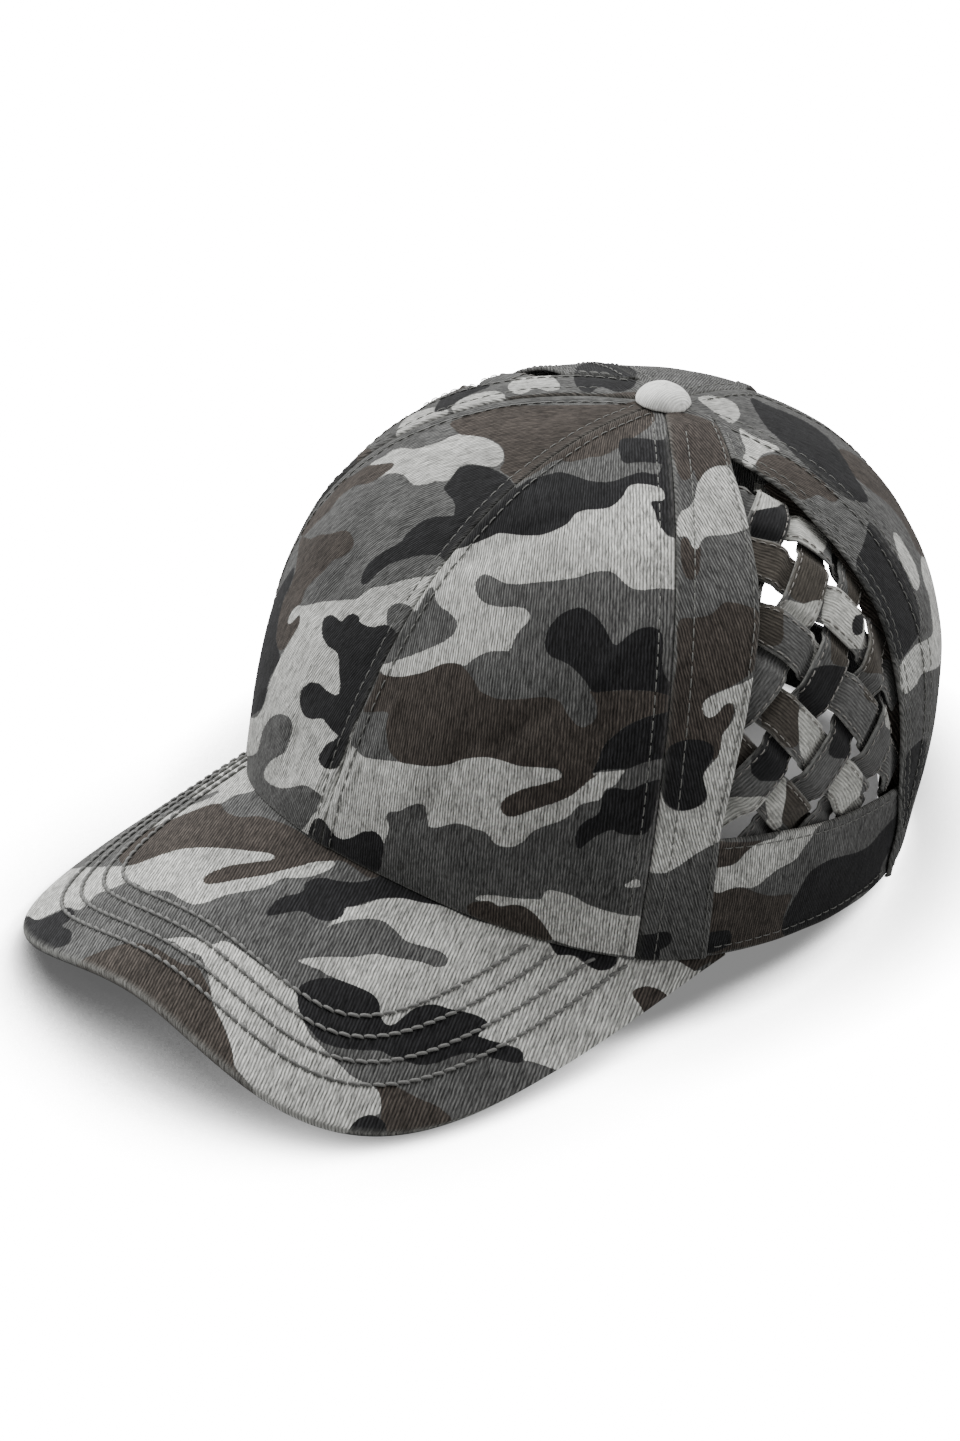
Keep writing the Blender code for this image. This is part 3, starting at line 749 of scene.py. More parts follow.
# Outlines of the print on both front panels, read in photograph pixels
PANEL_CHART = {
    "light": [
        [(370, 465), (377, 460), (385, 456), (392, 451), (402, 448), (415, 449), (430, 445),
         (442, 441), (452, 436), (462, 434), (475, 436), (487, 439), (497, 444), (503, 451),
         (503, 460), (497, 466), (492, 467), (480, 465), (467, 464), (459, 467), (454, 474),
         (447, 481), (437, 481), (425, 484), (415, 485), (410, 482), (405, 476), (397, 473),
         (387, 474), (377, 479), (385, 472), (391, 467), (394, 463), (387, 463), (380, 465)],
        [(684, 537), (670, 537), (663, 530), (658, 522), (655, 512), (651, 503), (655, 501),
         (664, 500), (663, 490), (655, 486), (645, 484), (635, 484), (628, 487), (622, 497),
         (612, 506), (600, 509), (585, 510), (575, 514), (568, 523), (555, 530), (540, 535),
         (520, 535), (500, 533), (490, 537), (480, 541), (465, 547), (455, 550), (447, 560),
         (438, 567), (434, 575), (420, 577), (405, 580), (389, 585), (377, 587), (369, 589),
         (363, 594), (357, 599), (345, 600), (321, 602), (309, 605), (302, 606), (299, 605),
         (295, 608), (291, 613), (288, 620), (288, 624), (291, 624), (295, 619), (299, 615),
         (300, 617), (299, 624), (296, 630), (292, 637), (288, 644), (284, 651), (280, 658),
         (276, 668), (270, 682), (264, 704), (255, 718), (235, 718), (220, 760), (230, 805),
         (262, 812), (290, 834), (330, 855), (375, 852), (386, 837), (389, 827), (386, 817),
         (390, 812), (400, 811), (407, 807), (415, 804), (424, 805), (426, 812), (428, 821),
         (430, 827), (440, 827), (450, 824), (462, 824), (475, 829), (485, 832), (492, 840),
         (497, 845), (505, 847), (515, 846), (525, 840), (532, 832), (545, 826), (560, 821),
         (570, 815), (575, 809), (582, 804), (595, 801), (601, 799), (605, 790), (615, 785),
         (619, 780), (622, 774), (624, 770), (605, 772), (580, 773), (562, 774), (557, 769),
         (547, 768), (535, 767), (520, 766), (510, 763), (497, 759), (485, 757), (470, 758),
         (460, 760), (450, 764), (437, 766), (425, 766), (410, 764), (400, 762), (382, 760),
         (364, 757), (357, 750), (351, 742), (358, 720), (370, 690), (380, 671), (385, 676),
         (400, 677), (412, 675), (425, 672), (440, 665), (450, 663), (460, 664), (465, 666),
         (475, 658), (488, 652), (500, 651), (510, 650), (514, 640), (520, 630), (528, 622),
         (530, 615), (525, 609), (515, 607), (500, 607), (490, 605), (482, 601), (477, 594),
         (475, 586), (478, 578), (485, 574), (495, 578), (505, 583), (520, 584), (540, 582),
         (560, 580), (578, 577), (590, 573), (600, 571), (612, 572), (620, 578), (628, 586),
         (640, 590), (660, 588), (684, 585)],
        [(477, 900), (479, 896), (490, 895), (500, 896), (512, 898), (530, 899), (541, 899),
         (545, 892), (550, 890), (560, 892), (575, 897), (587, 904), (600, 909), (615, 913),
         (630, 916), (640, 917), (640, 935), (636, 955), (620, 955), (600, 952), (575, 947),
         (552, 939), (547, 930), (540, 920), (532, 912), (522, 906), (510, 905), (500, 906)],
        [(624, 886), (637, 879), (640, 887)],
    ],
    "grey": [
        [(400, 603), (410, 606), (416, 612), (422, 600), (428, 590), (432, 587), (435, 592),
         (436, 600), (441, 607), (450, 613), (457, 622), (455, 632), (445, 641), (430, 648),
         (410, 656), (392, 662), (382, 665), (378, 668), (386, 640), (387, 625), (387, 612),
         (392, 605)],
        [(279, 714), (285, 715), (290, 718), (292, 724), (292, 732), (289, 742), (285, 752),
         (279, 756), (272, 760), (267, 766), (264, 773), (266, 780), (272, 785), (281, 788),
         (293, 787), (303, 785), (311, 788), (317, 792), (322, 797), (319, 804), (316, 812),
         (313, 815), (301, 830), (285, 824), (271, 812), (258, 802), (246, 794), (243, 782),
         (240, 772), (240, 764), (245, 757), (253, 755), (258, 750), (260, 742), (262, 732),
         (267, 722), (273, 716)],
    ],
    "brown": [
        [(450, 424), (455, 420), (470, 415), (490, 410), (510, 406), (555, 405), (580, 405),
         (620, 404), (640, 402), (655, 420), (630, 440), (605, 455), (592, 457), (580, 460),
         (570, 462), (557, 460), (547, 465), (537, 472), (525, 479), (516, 484), (510, 477),
         (505, 474), (500, 469), (504, 462), (504, 452), (500, 445), (490, 439), (477, 436),
         (462, 435), (455, 430)],
        [(392, 463), (394, 466), (387, 472), (377, 479), (367, 484), (357, 485), (347, 491),
         (337, 500), (330, 510), (317, 522), (305, 535), (301, 534), (305, 527), (312, 517),
         (322, 505), (332, 494), (342, 482), (355, 474), (365, 467), (372, 465), (382, 464)],
        [(319, 535), (330, 534), (340, 531), (347, 531), (352, 536), (354, 544), (350, 551),
         (342, 557), (332, 561), (325, 570), (317, 577), (310, 584), (305, 591), (302, 601),
         (299, 605), (294, 608), (290, 614), (288, 620), (288, 624), (293, 622), (298, 616),
         (300, 616), (299, 624), (295, 632), (289, 642), (283, 650), (278, 649), (276, 640),
         (277, 626), (280, 610), (285, 596), (291, 584), (295, 572), (297, 560), (299, 545),
         (302, 537), (310, 539)],
        [(377, 672), (385, 675), (400, 677), (412, 675), (425, 672), (440, 665), (450, 663),
         (460, 665), (467, 671), (475, 682), (480, 691), (490, 696), (500, 699), (525, 699),
         (540, 697), (555, 699), (562, 704), (566, 712), (572, 720), (580, 727), (587, 726),
         (595, 720), (597, 710), (595, 700), (590, 691), (610, 691), (625, 690), (650, 691),
         (665, 692), (675, 694), (672, 714), (660, 714), (650, 716), (637, 721), (625, 727),
         (615, 735), (607, 742), (602, 750), (599, 759), (595, 767), (592, 774), (599, 774),
         (590, 780), (582, 787), (572, 795), (560, 801), (545, 806), (530, 811), (520, 815),
         (511, 817), (505, 815), (501, 810), (501, 804), (507, 797), (520, 790), (535, 786),
         (550, 782), (560, 779), (562, 774), (557, 769), (547, 768), (535, 767), (520, 766),
         (510, 763), (497, 759), (485, 757), (470, 758), (460, 760), (450, 764), (437, 766),
         (425, 766), (410, 764), (400, 762), (390, 752), (387, 740), (386, 725), (387, 712),
         (364, 712), (367, 702), (375, 685)],
        [(467, 906), (475, 902), (485, 901), (492, 902), (500, 907), (510, 905), (522, 906),
         (532, 912), (540, 920), (547, 930), (552, 940), (535, 940), (520, 935), (500, 930),
         (482, 924), (470, 915)],
    ],
    "black": [
        [(362, 584), (361, 579), (364, 571), (370, 562), (380, 554), (392, 547), (401, 542),
         (405, 536), (412, 529), (422, 521), (435, 517), (450, 516), (454, 515), (455, 505),
         (452, 499), (446, 492), (444, 487), (449, 481), (454, 474), (461, 467), (474, 465),
         (487, 467), (495, 470), (504, 475), (512, 482), (516, 488), (521, 485), (530, 479),
         (547, 475), (560, 472), (575, 476), (590, 481), (605, 482), (617, 480), (630, 475),
         (642, 472), (660, 472), (664, 440), (674, 430), (684, 470), (686, 537), (672, 537),
         (663, 530), (658, 522), (655, 512), (651, 503), (655, 501), (664, 500), (663, 490),
         (655, 486), (645, 484), (635, 484), (628, 487), (622, 497), (612, 506), (600, 509),
         (585, 510), (575, 514), (568, 523), (555, 530), (540, 535), (520, 535), (500, 533),
         (490, 537), (480, 541), (465, 547), (455, 550), (447, 561), (440, 556), (430, 555),
         (417, 556), (402, 560), (390, 564), (380, 571), (372, 579), (366, 584)],
        [(620, 440), (640, 438), (655, 440), (668, 441), (670, 455), (668, 464), (655, 463),
         (640, 462), (625, 463), (620, 455)],
        [(575, 608), (585, 609), (595, 616), (603, 625), (608, 634), (612, 642), (616, 645),
         (622, 641), (632, 633), (642, 628), (652, 627), (660, 631), (663, 640), (662, 655),
         (663, 670), (668, 680), (675, 685), (673, 695), (650, 691), (625, 690), (610, 691),
         (593, 692), (588, 685), (580, 675), (572, 667), (562, 661), (552, 657), (546, 650),
         (545, 640), (549, 628), (560, 615)],
        [(322, 626), (323, 620), (327, 616), (332, 615), (337, 618), (341, 622), (345, 618),
         (350, 614), (355, 614), (359, 617), (360, 622), (365, 625), (373, 627), (381, 625),
         (387, 625), (393, 629), (398, 635), (397, 640), (391, 649), (385, 659), (380, 668),
         (378, 678), (373, 688), (367, 700), (361, 713), (355, 724), (350, 735), (349, 740),
         (345, 752), (341, 762), (337, 768), (329, 769), (323, 767), (319, 762), (319, 756),
         (322, 750), (327, 744), (334, 740), (338, 736), (335, 733), (330, 728), (326, 723),
         (323, 719), (315, 719), (307, 718), (302, 712), (300, 704), (300, 696), (302, 689),
         (307, 684), (313, 682), (320, 684), (325, 689), (331, 693), (336, 695), (339, 692),
         (340, 684), (339, 674), (339, 664), (338, 655), (334, 650), (329, 647), (325, 642),
         (322, 634)],
        [(660, 714), (650, 716), (637, 721), (625, 727), (615, 735), (607, 742), (602, 750),
         (599, 759), (595, 767), (592, 774), (600, 771), (612, 769), (627, 769), (640, 764),
         (655, 760), (661, 759), (666, 755), (674, 735), (676, 720), (670, 712)],
        [(576, 845), (576, 835), (580, 826), (587, 820), (597, 815), (601, 807), (602, 797),
         (607, 790), (617, 788), (630, 790), (640, 785), (650, 782), (662, 780), (658, 797),
         (655, 810), (652, 824), (645, 834), (635, 835), (622, 834), (612, 830), (605, 832),
         (595, 837), (585, 845), (579, 849)],
        [(309, 830), (315, 819), (322, 819), (327, 825), (332, 832), (337, 837), (345, 839),
         (355, 836), (362, 832), (371, 831), (377, 833), (382, 839), (384, 847), (382, 857),
         (380, 868), (375, 872), (362, 868), (345, 861), (325, 854), (310, 842)],
        [(294, 567), (291, 584), (285, 596), (280, 612), (278, 624), (276, 638), (278, 648),
         (280, 658), (276, 666), (272, 674), (269, 680), (267, 688), (266, 696), (264, 703),
         (261, 709), (256, 713), (248, 718), (242, 714), (246, 696), (252, 680), (256, 660),
         (262, 640), (270, 616), (278, 592)],
    ],
}

PANEL_ROWS = [("start", STITCH_INSET), ("end", STITCH_INSET)]
# Soft folds of the washed cloth: start and end in photograph pixels, half width, rise in mm
PANEL_CREASES = [
    (352, 746, 324, 806, 3.0, -0.63), (338, 738, 314, 792, 3.5, 0.54),
    (366, 752, 340, 802, 3.5, 0.50), (300, 700, 286, 775, 7.0, -0.81),
    (262, 690, 250, 750, 6.0, 0.63), (318, 650, 292, 722, 9.0, 0.72),
    (470, 745, 424, 812, 9.0, -0.63), (560, 700, 500, 745, 12.0, -0.72),
    (398, 700, 368, 770, 6.0, 0.54), (610, 862, 602, 925, 6.0, -0.54),
    (520, 850, 512, 902, 7.0, 0.45), (430, 480, 398, 524, 8.0, 0.63),
    (560, 520, 468, 562, 10.0, -0.72), (640, 620, 600, 680, 9.0, 0.63),
    (352, 560, 318, 612, 8.0, -0.72),
]
# Points across and up each piece's surface
PANEL_MESH = (130, 225)


def straight(angle):
    """Edge that runs straight up a seam."""
    return lambda share: np.full_like(share, angle)


def level_top(arc):
    """Upper edge at one length up the side of the crown."""
    return lambda u: np.full_like(u, arc)


front_surface = sewn_surface(
    straight(0.0), straight(SIDE_SEAM), 0.0, level_top(TOP_ARC), PANEL_ROWS, rolls=(1, 1, 0, 0),
    creases=PANEL_CREASES)


def sew(node_name, surface, left, chart, material, slot_name, mesh, rows, ends, **settings):
    """Puts one sewn piece in for its CAD node, and gives the lines of its stitch rows."""
    name = node_name + ("_left" if left else "_right")
    piece = sewn_piece(name + "_twill", surface, left, chart, material, *mesh, **settings)
    finish_piece(piece, slot_name, name)
    return [seam_line(surface, left, edge, inset, ends) for edge, inset in rows]


lines = []
for left in (True, False):
    lines += sew("front_panel", front_surface, left, PANEL_CHART, panel_twill, "panel_twill",
                 PANEL_MESH, PANEL_ROWS, (0.0, 0.97), grain="end")
finish_piece(thread_rows("front_panel_stitching", lines, seam_thread), "panel_twill")


# Front bands. A folded strip of the same cloth beside each woven window, from the rim to the
# button, sewn to the front panel and stitched down close to its rear fold.
FRONT_BAND = 0.023
REAR_BAND = 0.0205
FRONT_BAND_SHAPE = [
    # height share, width share
    (0.00, 0.89), (0.09, 0.81), (0.17, 0.77), (0.25, 0.83), (0.33, 0.90), (0.42, 0.96),
    (0.50, 1.00), (0.58, 0.97), (0.69, 0.87), (0.81, 0.75), (1.00, 0.70),
]
REAR_BAND_SHAPE = [
    # height share, width share
    (0.000, 0.13), (0.060, 0.36), (0.126, 0.70), (0.190, 0.85), (0.265, 0.94), (0.360, 1.00),
    (0.650, 0.97), (0.730, 0.88), (1.000, 0.86),
]
BAND_LIFT = 0.0005
BAND_MESH = (40, 190)
BAND_RIB_TURN = radians(-21)
BAND_CHART = {
    "light": [
        [(700, 478), (707, 471), (717, 466), (727, 466), (735, 478), (742, 492), (748, 507),
         (752, 520), (748, 528), (740, 531), (730, 534), (720, 535), (708, 536), (702, 540),
         (698, 548), (693, 548), (690, 540), (685, 536), (678, 536), (677, 522), (681, 512),
         (688, 508), (694, 500), (696, 490)],
        [(760, 676), (745, 682), (735, 686), (720, 692), (708, 698), (702, 705), (703, 714),
         (710, 718), (718, 714), (723, 706), (730, 703), (735, 706), (735, 715), (730, 725),
         (722, 735), (721, 745), (717, 757), (708, 768), (703, 776), (705, 785), (707, 795),
         (705, 802), (695, 808), (683, 811), (672, 809), (664, 802), (661, 792), (657, 778),
         (652, 800), (648, 825), (643, 845), (638, 862), (645, 870), (655, 873), (668, 872),
         (680, 865), (690, 858), (702, 850), (712, 845), (724, 838), (728, 825), (732, 810),
         (738, 790), (744, 765), (750, 740), (754, 715), (758, 695)],
    ],
    "brown": [
        [(660, 414), (690, 414), (715, 424), (728, 440), (732, 463), (715, 466), (705, 472),
         (698, 482), (694, 470), (690, 478), (683, 480), (677, 470), (668, 440)],
        [(681, 540), (687, 538), (691, 545), (697, 550), (701, 545), (700, 560), (699, 572),
         (692, 580), (685, 575), (681, 560)],
        [(678, 622), (695, 618), (710, 615), (718, 608), (725, 602), (735, 603), (745, 605),
         (756, 610), (764, 620), (764, 640), (762, 660), (752, 672), (742, 680), (730, 687),
         (715, 693), (706, 699), (702, 706), (704, 714), (710, 718), (718, 713), (724, 706),
         (730, 703), (734, 708), (733, 716), (728, 727), (722, 735), (720, 750), (712, 760),
         (664, 760), (662, 740), (668, 715), (672, 690), (677, 660)],
    ],
    "black": [
        [(664, 762), (666, 752), (672, 745), (685, 740), (700, 740), (712, 745), (714, 755),
         (708, 766), (703, 775), (705, 786), (707, 796), (700, 805), (688, 810), (677, 810),
         (668, 805), (663, 795), (661, 782)],
        [(634, 938), (640, 935), (652, 934), (660, 932), (668, 932), (672, 938), (668, 946),
         (660, 950), (658, 960), (640, 960), (632, 955)],
    ],
}
# Print on the far half, of which the photograph shows the upper edge over the crown
FAR_CHART = {
    "light": [
        [(396, 436), (403, 421), (418, 412), (438, 407), (448, 412), (436, 424), (420, 431),
         (406, 438)],
        [(452, 405), (466, 397), (480, 393), (496, 391), (505, 396), (502, 407), (488, 413),
         (470, 417), (456, 414)],
        [(508, 386), (518, 378), (532, 374), (546, 373), (556, 380), (560, 388), (548, 391),
         (536, 388), (522, 394), (512, 392)],
    ],
    "brown": [
        [(508, 398), (530, 395), (560, 393), (600, 394), (640, 392), (650, 400), (600, 408),
         (560, 409), (520, 410)],
        [(330, 482), (345, 462), (362, 448), (372, 452), (358, 466), (342, 484)],
    ],
    "black": [
        [(357, 458), (352, 470), (340, 482), (325, 495), (310, 512), (296, 528), (296, 520),
         (310, 500), (326, 480), (342, 462)],
        [(434, 412), (442, 398), (460, 386), (482, 380), (490, 386), (474, 393), (460, 400),
         (448, 409)],
        [(574, 380), (578, 366), (600, 361), (622, 363), (636, 372), (634, 386), (618, 392),
         (600, 387), (590, 393), (580, 390)],
    ],
}


def front_band_edge(share):
    """Rear fold of the front band, which meets the rear seam near the button."""
    table = np.array(FRONT_BAND_SHAPE)
    width = FRONT_BAND * np.interp(share, table[:, 0], table[:, 1])
    share = np.minimum(share, CROWN_TOP)
    first = SIDE_SEAM + width / spread(SIDE_SEAM, share)
    return np.minimum(SIDE_SEAM + width / spread((SIDE_SEAM + first) / 2, share), REAR_SEAM)


def rear_band_edge(share):
    """Front fold of the rear band, which slips behind the front band above the window."""
    table = np.array(REAR_BAND_SHAPE)
    width = REAR_BAND * np.interp(share, table[:, 0], table[:, 1])
    near = np.minimum(share, CROWN_TOP)
    first = REAR_SEAM - width / spread(REAR_SEAM, near)
    edge = REAR_SEAM - width / spread((REAR_SEAM + first) / 2, near)
    return np.maximum(edge, front_band_edge(share))


band_twill = camouflage_twill("washed_cotton_twill_bands", PRINTS, rib_turn=BAND_RIB_TURN)
BAND_ROWS = [("start", 0.0050), ("end", 0.0017)]
front_band_surface = sewn_surface(
    straight(SIDE_SEAM), front_band_edge, 0.0, level_top(TOP_ARC), BAND_ROWS, BAND_LIFT,
    rolls=(1.6, 1.2, 0.8, 0))
lines = []
for left in (True, False):
    chart = BAND_CHART if left else FAR_CHART
    lines += sew("front_band", front_band_surface, left, chart, band_twill, "band_twill",
                 BAND_MESH, BAND_ROWS, (0.0, 0.93))
finish_piece(thread_rows("front_band_stitching", lines, seam_thread), "band_twill")


# Rear bands and back panels. A folded strip of cloth behind each window, sewn to a back panel;
# the two back panels meet behind the button and part below it round the ponytail opening.
SLIT_TOP = 0.135
SLIT_HALF_WIDTH = 0.025
SLIT_SHAPE = [
    # height share, half width share
    (0.00, 1.00), (0.30, 1.00), (0.50, 0.93), (0.70, 0.74), (0.85, 0.46), (0.95, 0.18),
    (1.00, 0.00),
]
BACK_ARC = arc_table(np.pi)
BAND_TOP_RANGE = (0.5, 0.985)
BAND_TOP_WIDTH = 0.0021
REAR_BAND_MESH = (36, 170)
BACK_MESH = (64, 130)
REAR_CHART = {
    "light": [
        [(740, 428), (752, 436), (770, 443), (780, 450), (765, 453), (758, 459), (754, 466),
         (748, 469), (742, 462), (746, 450), (742, 440)],
        # The outlines near the right edge of the back, over x 890, lie where the rim light falls:
        # their light print is partly print and partly painted highlight.
        [(899, 668), (907, 655), (916, 645), (926, 640), (936, 634), (946, 640), (944, 655),
         (938, 667), (929, 671), (921, 675), (916, 685), (905, 694), (900, 684), (901, 676)],
        [(698, 398), (714, 396), (733, 402), (740, 414), (733, 423), (722, 418), (712, 410)],
        [(893, 532), (899, 536), (906, 548), (914, 562), (919, 577), (919, 588), (914, 589),
         (908, 575), (901, 562), (896, 546)],
        [(921, 557), (928, 562), (937, 585), (944, 612), (948, 640), (943, 652), (935, 640),
         (932, 618), (929, 596), (923, 578)],
    ],
    "brown": [
        [(758, 460), (768, 455), (778, 455), (795, 462), (815, 475), (830, 488), (838, 498),
         (832, 502), (818, 495), (803, 500), (790, 492), (775, 480), (757, 470)],
        [(838, 450), (850, 452), (870, 466), (892, 486), (908, 508), (920, 534), (926, 556),
         (918, 552), (904, 524), (888, 504), (868, 488), (850, 472)],
    ],
    "black": [
        [(869, 522), (878, 530), (890, 548), (900, 562), (908, 578), (914, 592), (919, 610),
         (920, 630), (912, 645), (905, 655), (898, 660), (890, 650), (880, 625), (870, 600),
         (860, 580), (856, 562), (862, 548), (866, 535)],
        [(750, 398), (770, 406), (790, 414), (810, 424), (828, 438), (842, 455), (854, 475),
         (866, 494), (868, 502), (850, 500), (835, 490), (820, 478), (800, 460), (780, 440),
         (765, 425)],
        [(905, 760), (915, 745), (926, 740), (924, 770), (914, 800), (905, 830), (902, 800)],
    ],
}


def slit_edge(share):
    """Side edge of the ponytail opening; above the opening the two back panels meet."""
    table = np.array(SLIT_SHAPE)
    arc = np.interp(share, HEIGHTS, BACK_ARC)
    half = SLIT_HALF_WIDTH * np.interp(arc / SLIT_TOP, table[:, 0], table[:, 1])
    return np.pi - half / spread(np.pi, share)


def band_top():
    """Height share where the rear band has run out behind the front band."""
    share = np.linspace(*BAND_TOP_RANGE, 400)
    width = (REAR_SEAM - front_band_edge(share)) * spread(REAR_SEAM, share)
    return share[width > BAND_TOP_WIDTH][-1]


REAR_ROWS = [("start", 0.0017), ("start", 0.0050), ("end", STITCH_INSET)]
rear_top = np.interp(band_top(), HEIGHTS, MIDDLE_ARC)
rear_band_surface = sewn_surface(
    rear_band_edge, straight(REAR_SEAM), 0.0, level_top(rear_top), REAR_ROWS, BAND_LIFT * 0.8,
    rolls=(1.2, 1.2, 0.8, 0))
BACK_ROWS = [("start", STITCH_INSET), ("end", 0.0040)]
back_surface = sewn_surface(
    straight(REAR_SEAM), slit_edge, 0.0, level_top(TOP_ARC), BACK_ROWS, rolls=(1, 1, 0.8, 0))
# Allowance of the rear band, turned in over the strip ends: height share and depth in metres
TURNING_SHAPE = np.array([
    (0.08, 0.0040), (0.12, 0.0060), (0.22, 0.0056), (0.36, 0.0042), (0.49, 0.0042),
    (0.52, 0.0018), (0.59, 0.0018), (0.62, 0.0050), (0.72, 0.0055), (0.77, 0.0018),
])
TURNING_WIDTH = 0.0050
TURNING_SET_IN = 0.0004
TURNING_SEAT = 0.0011
TURNING_BEND = 1.3
TURNING_MESH = (7, 161)
TURNING_FLAT_MM = (5, 150)


def rear_turning(left):
    """Turned-in allowance: from the fold's underside, deepest there, back up to the band's."""
    across = np.linspace(0, 1, TURNING_MESH[0])[:, None]
    share = np.linspace(TURNING_SHAPE[0, 0], TURNING_SHAPE[-1, 0], TURNING_MESH[1])[None, :]
    behind = (TURNING_SET_IN + TURNING_WIDTH * across) / spread(REAR_SEAM, share)
    angle = rear_band_edge(share) + behind
    across, share = np.broadcast_arrays(across, share)
    deep = np.interp(share, TURNING_SHAPE[:, 0], TURNING_SHAPE[:, 1])
    depth = TURNING_SEAT + (deep - TURNING_SEAT) * (1 - across) ** TURNING_BEND
    points = crown(angle, share) - outward(angle, share) * depth[..., None]
    points = in_place(points, left).reshape(-1, 3)
    flat = np.stack([across, share], -1).reshape(-1, 2) * TURNING_FLAT_MM
    layers = no_print(points)
    layers[CAMOUFLAGE_LAYERS.index("brown")] *= -1
    faces = grid_faces(*TURNING_MESH)
    return cloth_mesh("rear_band_" + ("left" if left else "right") + "_turning", points, flat,
                      faces if left else faces[:, ::-1], layers, layers[0] * 0, band_twill)


lines = []
for left in (True, False):
    chart = REAR_CHART if left else FAR_CHART
    finish_piece(rear_turning(left), "band_twill")
    lines += sew("rear_band", rear_band_surface, left, chart, band_twill, "band_twill",
                 REAR_BAND_MESH, REAR_ROWS, (0.10, 0.97))
    lines += sew("back_panel", back_surface, left, chart, panel_twill, "panel_twill",
                 BACK_MESH, BACK_ROWS, (0.0, 0.95))
finish_piece(thread_rows("rear_stitching", lines, seam_thread), "band_twill")


# Hem bands. The plain piece below each window, with a fold along its upper edge that holds the
# lower ends of the woven strips, and its own ends sewn under the two bands.
HEM_BAND = 0.038
HEM_BAND_BACK = 0.033
HEM_UNDERLAP = 0.003
HEM_MESH = (76, 48)
HEM_RIB_TURN = radians(28)
HEM_CHART = {
    "light": [
        [(706, 893), (706, 885), (712, 868), (720, 866), (728, 866), (738, 862), (745, 853),
         (755, 845), (765, 841), (775, 838), (783, 830), (795, 826), (810, 819), (825, 812),
         (840, 808), (848, 811), (838, 816), (825, 822), (815, 830), (810, 840), (802, 850),
         (795, 860), (780, 868), (770, 875), (760, 884), (750, 888), (740, 887), (730, 889),
         (720, 893)],
    ],
    "brown": [
        [(708, 842), (730, 842), (745, 842), (755, 841), (765, 840), (753, 846), (745, 853),
         (738, 861), (728, 866), (710, 866)],
        [(706, 895), (720, 893), (730, 889), (745, 888), (755, 892), (772, 896), (792, 894),
         (788, 905), (783, 920), (785, 936), (770, 942), (750, 946), (730, 950), (708, 950)],
    ],
    "black": [
        [(908, 805), (900, 835), (890, 850), (882, 865), (876, 884), (858, 896), (845, 908),
         (830, 918), (815, 926), (800, 932), (785, 936), (782, 925), (788, 910), (795, 897),
         (802, 885), (810, 872), (825, 862), (842, 856), (858, 852), (870, 845), (880, 833),
         (890, 822)],
        [(706, 935), (718, 931), (730, 931), (730, 944), (715, 952), (704, 952)],
    ],
}


def hem_start(share):
    """Front end of the hem band, tucked under the front band."""
    return front_band_edge(share) - HEM_UNDERLAP / spread(WINDOW_MIDDLE, share)


def hem_end(share):
    """Rear end of the hem band, tucked under the rear band."""
    return rear_band_edge(share) + HEM_UNDERLAP / spread(WINDOW_MIDDLE, share)


def hem_top(u):
    """Upper fold of the hem band, a little lower toward the back."""
    return HEM_BAND + (HEM_BAND_BACK - HEM_BAND) * u


HEM_ROWS = [("top", 0.0026), ("low", 0.0032)]
hem_surface = sewn_surface(
    hem_start, hem_end, 0.0, hem_top, HEM_ROWS, -BAND_LIFT, rolls=(0, 0, 1.2, 1.2))
lines = []
for left in (True, False):
    chart = HEM_CHART if left else FAR_CHART
    lines += sew("hem_band", hem_surface, left, chart, band_twill, "band_twill", HEM_MESH,
                 HEM_ROWS, (0.06, 0.94), turn=HEM_RIB_TURN)
finish_piece(thread_rows("hem_stitching", lines, seam_thread), "band_twill")


# Woven strips. Five strips rise and five fall across each window, each cut from the same cloth,
# folded to 12 mm, stitched along both edges, and passed over and under the ones it crosses.
STRIP_PITCH = 0.016
STRIP_WIDTH = 0.0117
STRIP_CLOTH = 0.0012
STRIP_TUCK = 0.0055
STRIP_REACH = 0.09
STRIP_STEP = 0.0009
STRIP_RING = 40
# Powers that square the section's width and round its thickness, and its swell at the folds
STRIP_SECTION = (0.45, 0.8)
STRIP_SWELL, STRIP_SWELL_POWER = 0.25, 6
STRIP_WEAR_POWER = 14
STRIP_WANDER, STRIP_WANDER_SIZE = 0.0004, 0.02
STRIP_SEAM_INSET = 0.0013
STRIP_SEAM_END = 0.001
STRIP_STITCH = (0.0028, 0.0021, 0.00018)
WEAVE_SWING = 0.0011
WEAVE_DEPTH = 0.0007
WEAVE_BLEND = 0.009
WEAVE_CLEARANCE = 0.0009
WEAVE_FLATNESS = 0.05
RISING_ANGLE = radians(46.0)
FALLING_ANGLE = radians(47.0)
WEAVE_CENTRE = np.array([0.0032, 0.0766])
RISING = np.array([np.cos(RISING_ANGLE), np.sin(RISING_ANGLE)])
FALLING = np.array([np.cos(FALLING_ANGLE), -np.sin(FALLING_ANGLE)])
RISING_STEP = np.array([np.sin(RISING_ANGLE), -np.cos(RISING_ANGLE)])
FALLING_STEP = np.array([-np.sin(FALLING_ANGLE), -np.cos(FALLING_ANGLE)])
# Way of each set of strips: along, sideways, sideways of the other set, and side it starts on
WAYS = {
    "rising": (RISING, RISING_STEP, FALLING_STEP, 1.0),
    "falling": (FALLING, FALLING_STEP, RISING_STEP, -1.0),
}

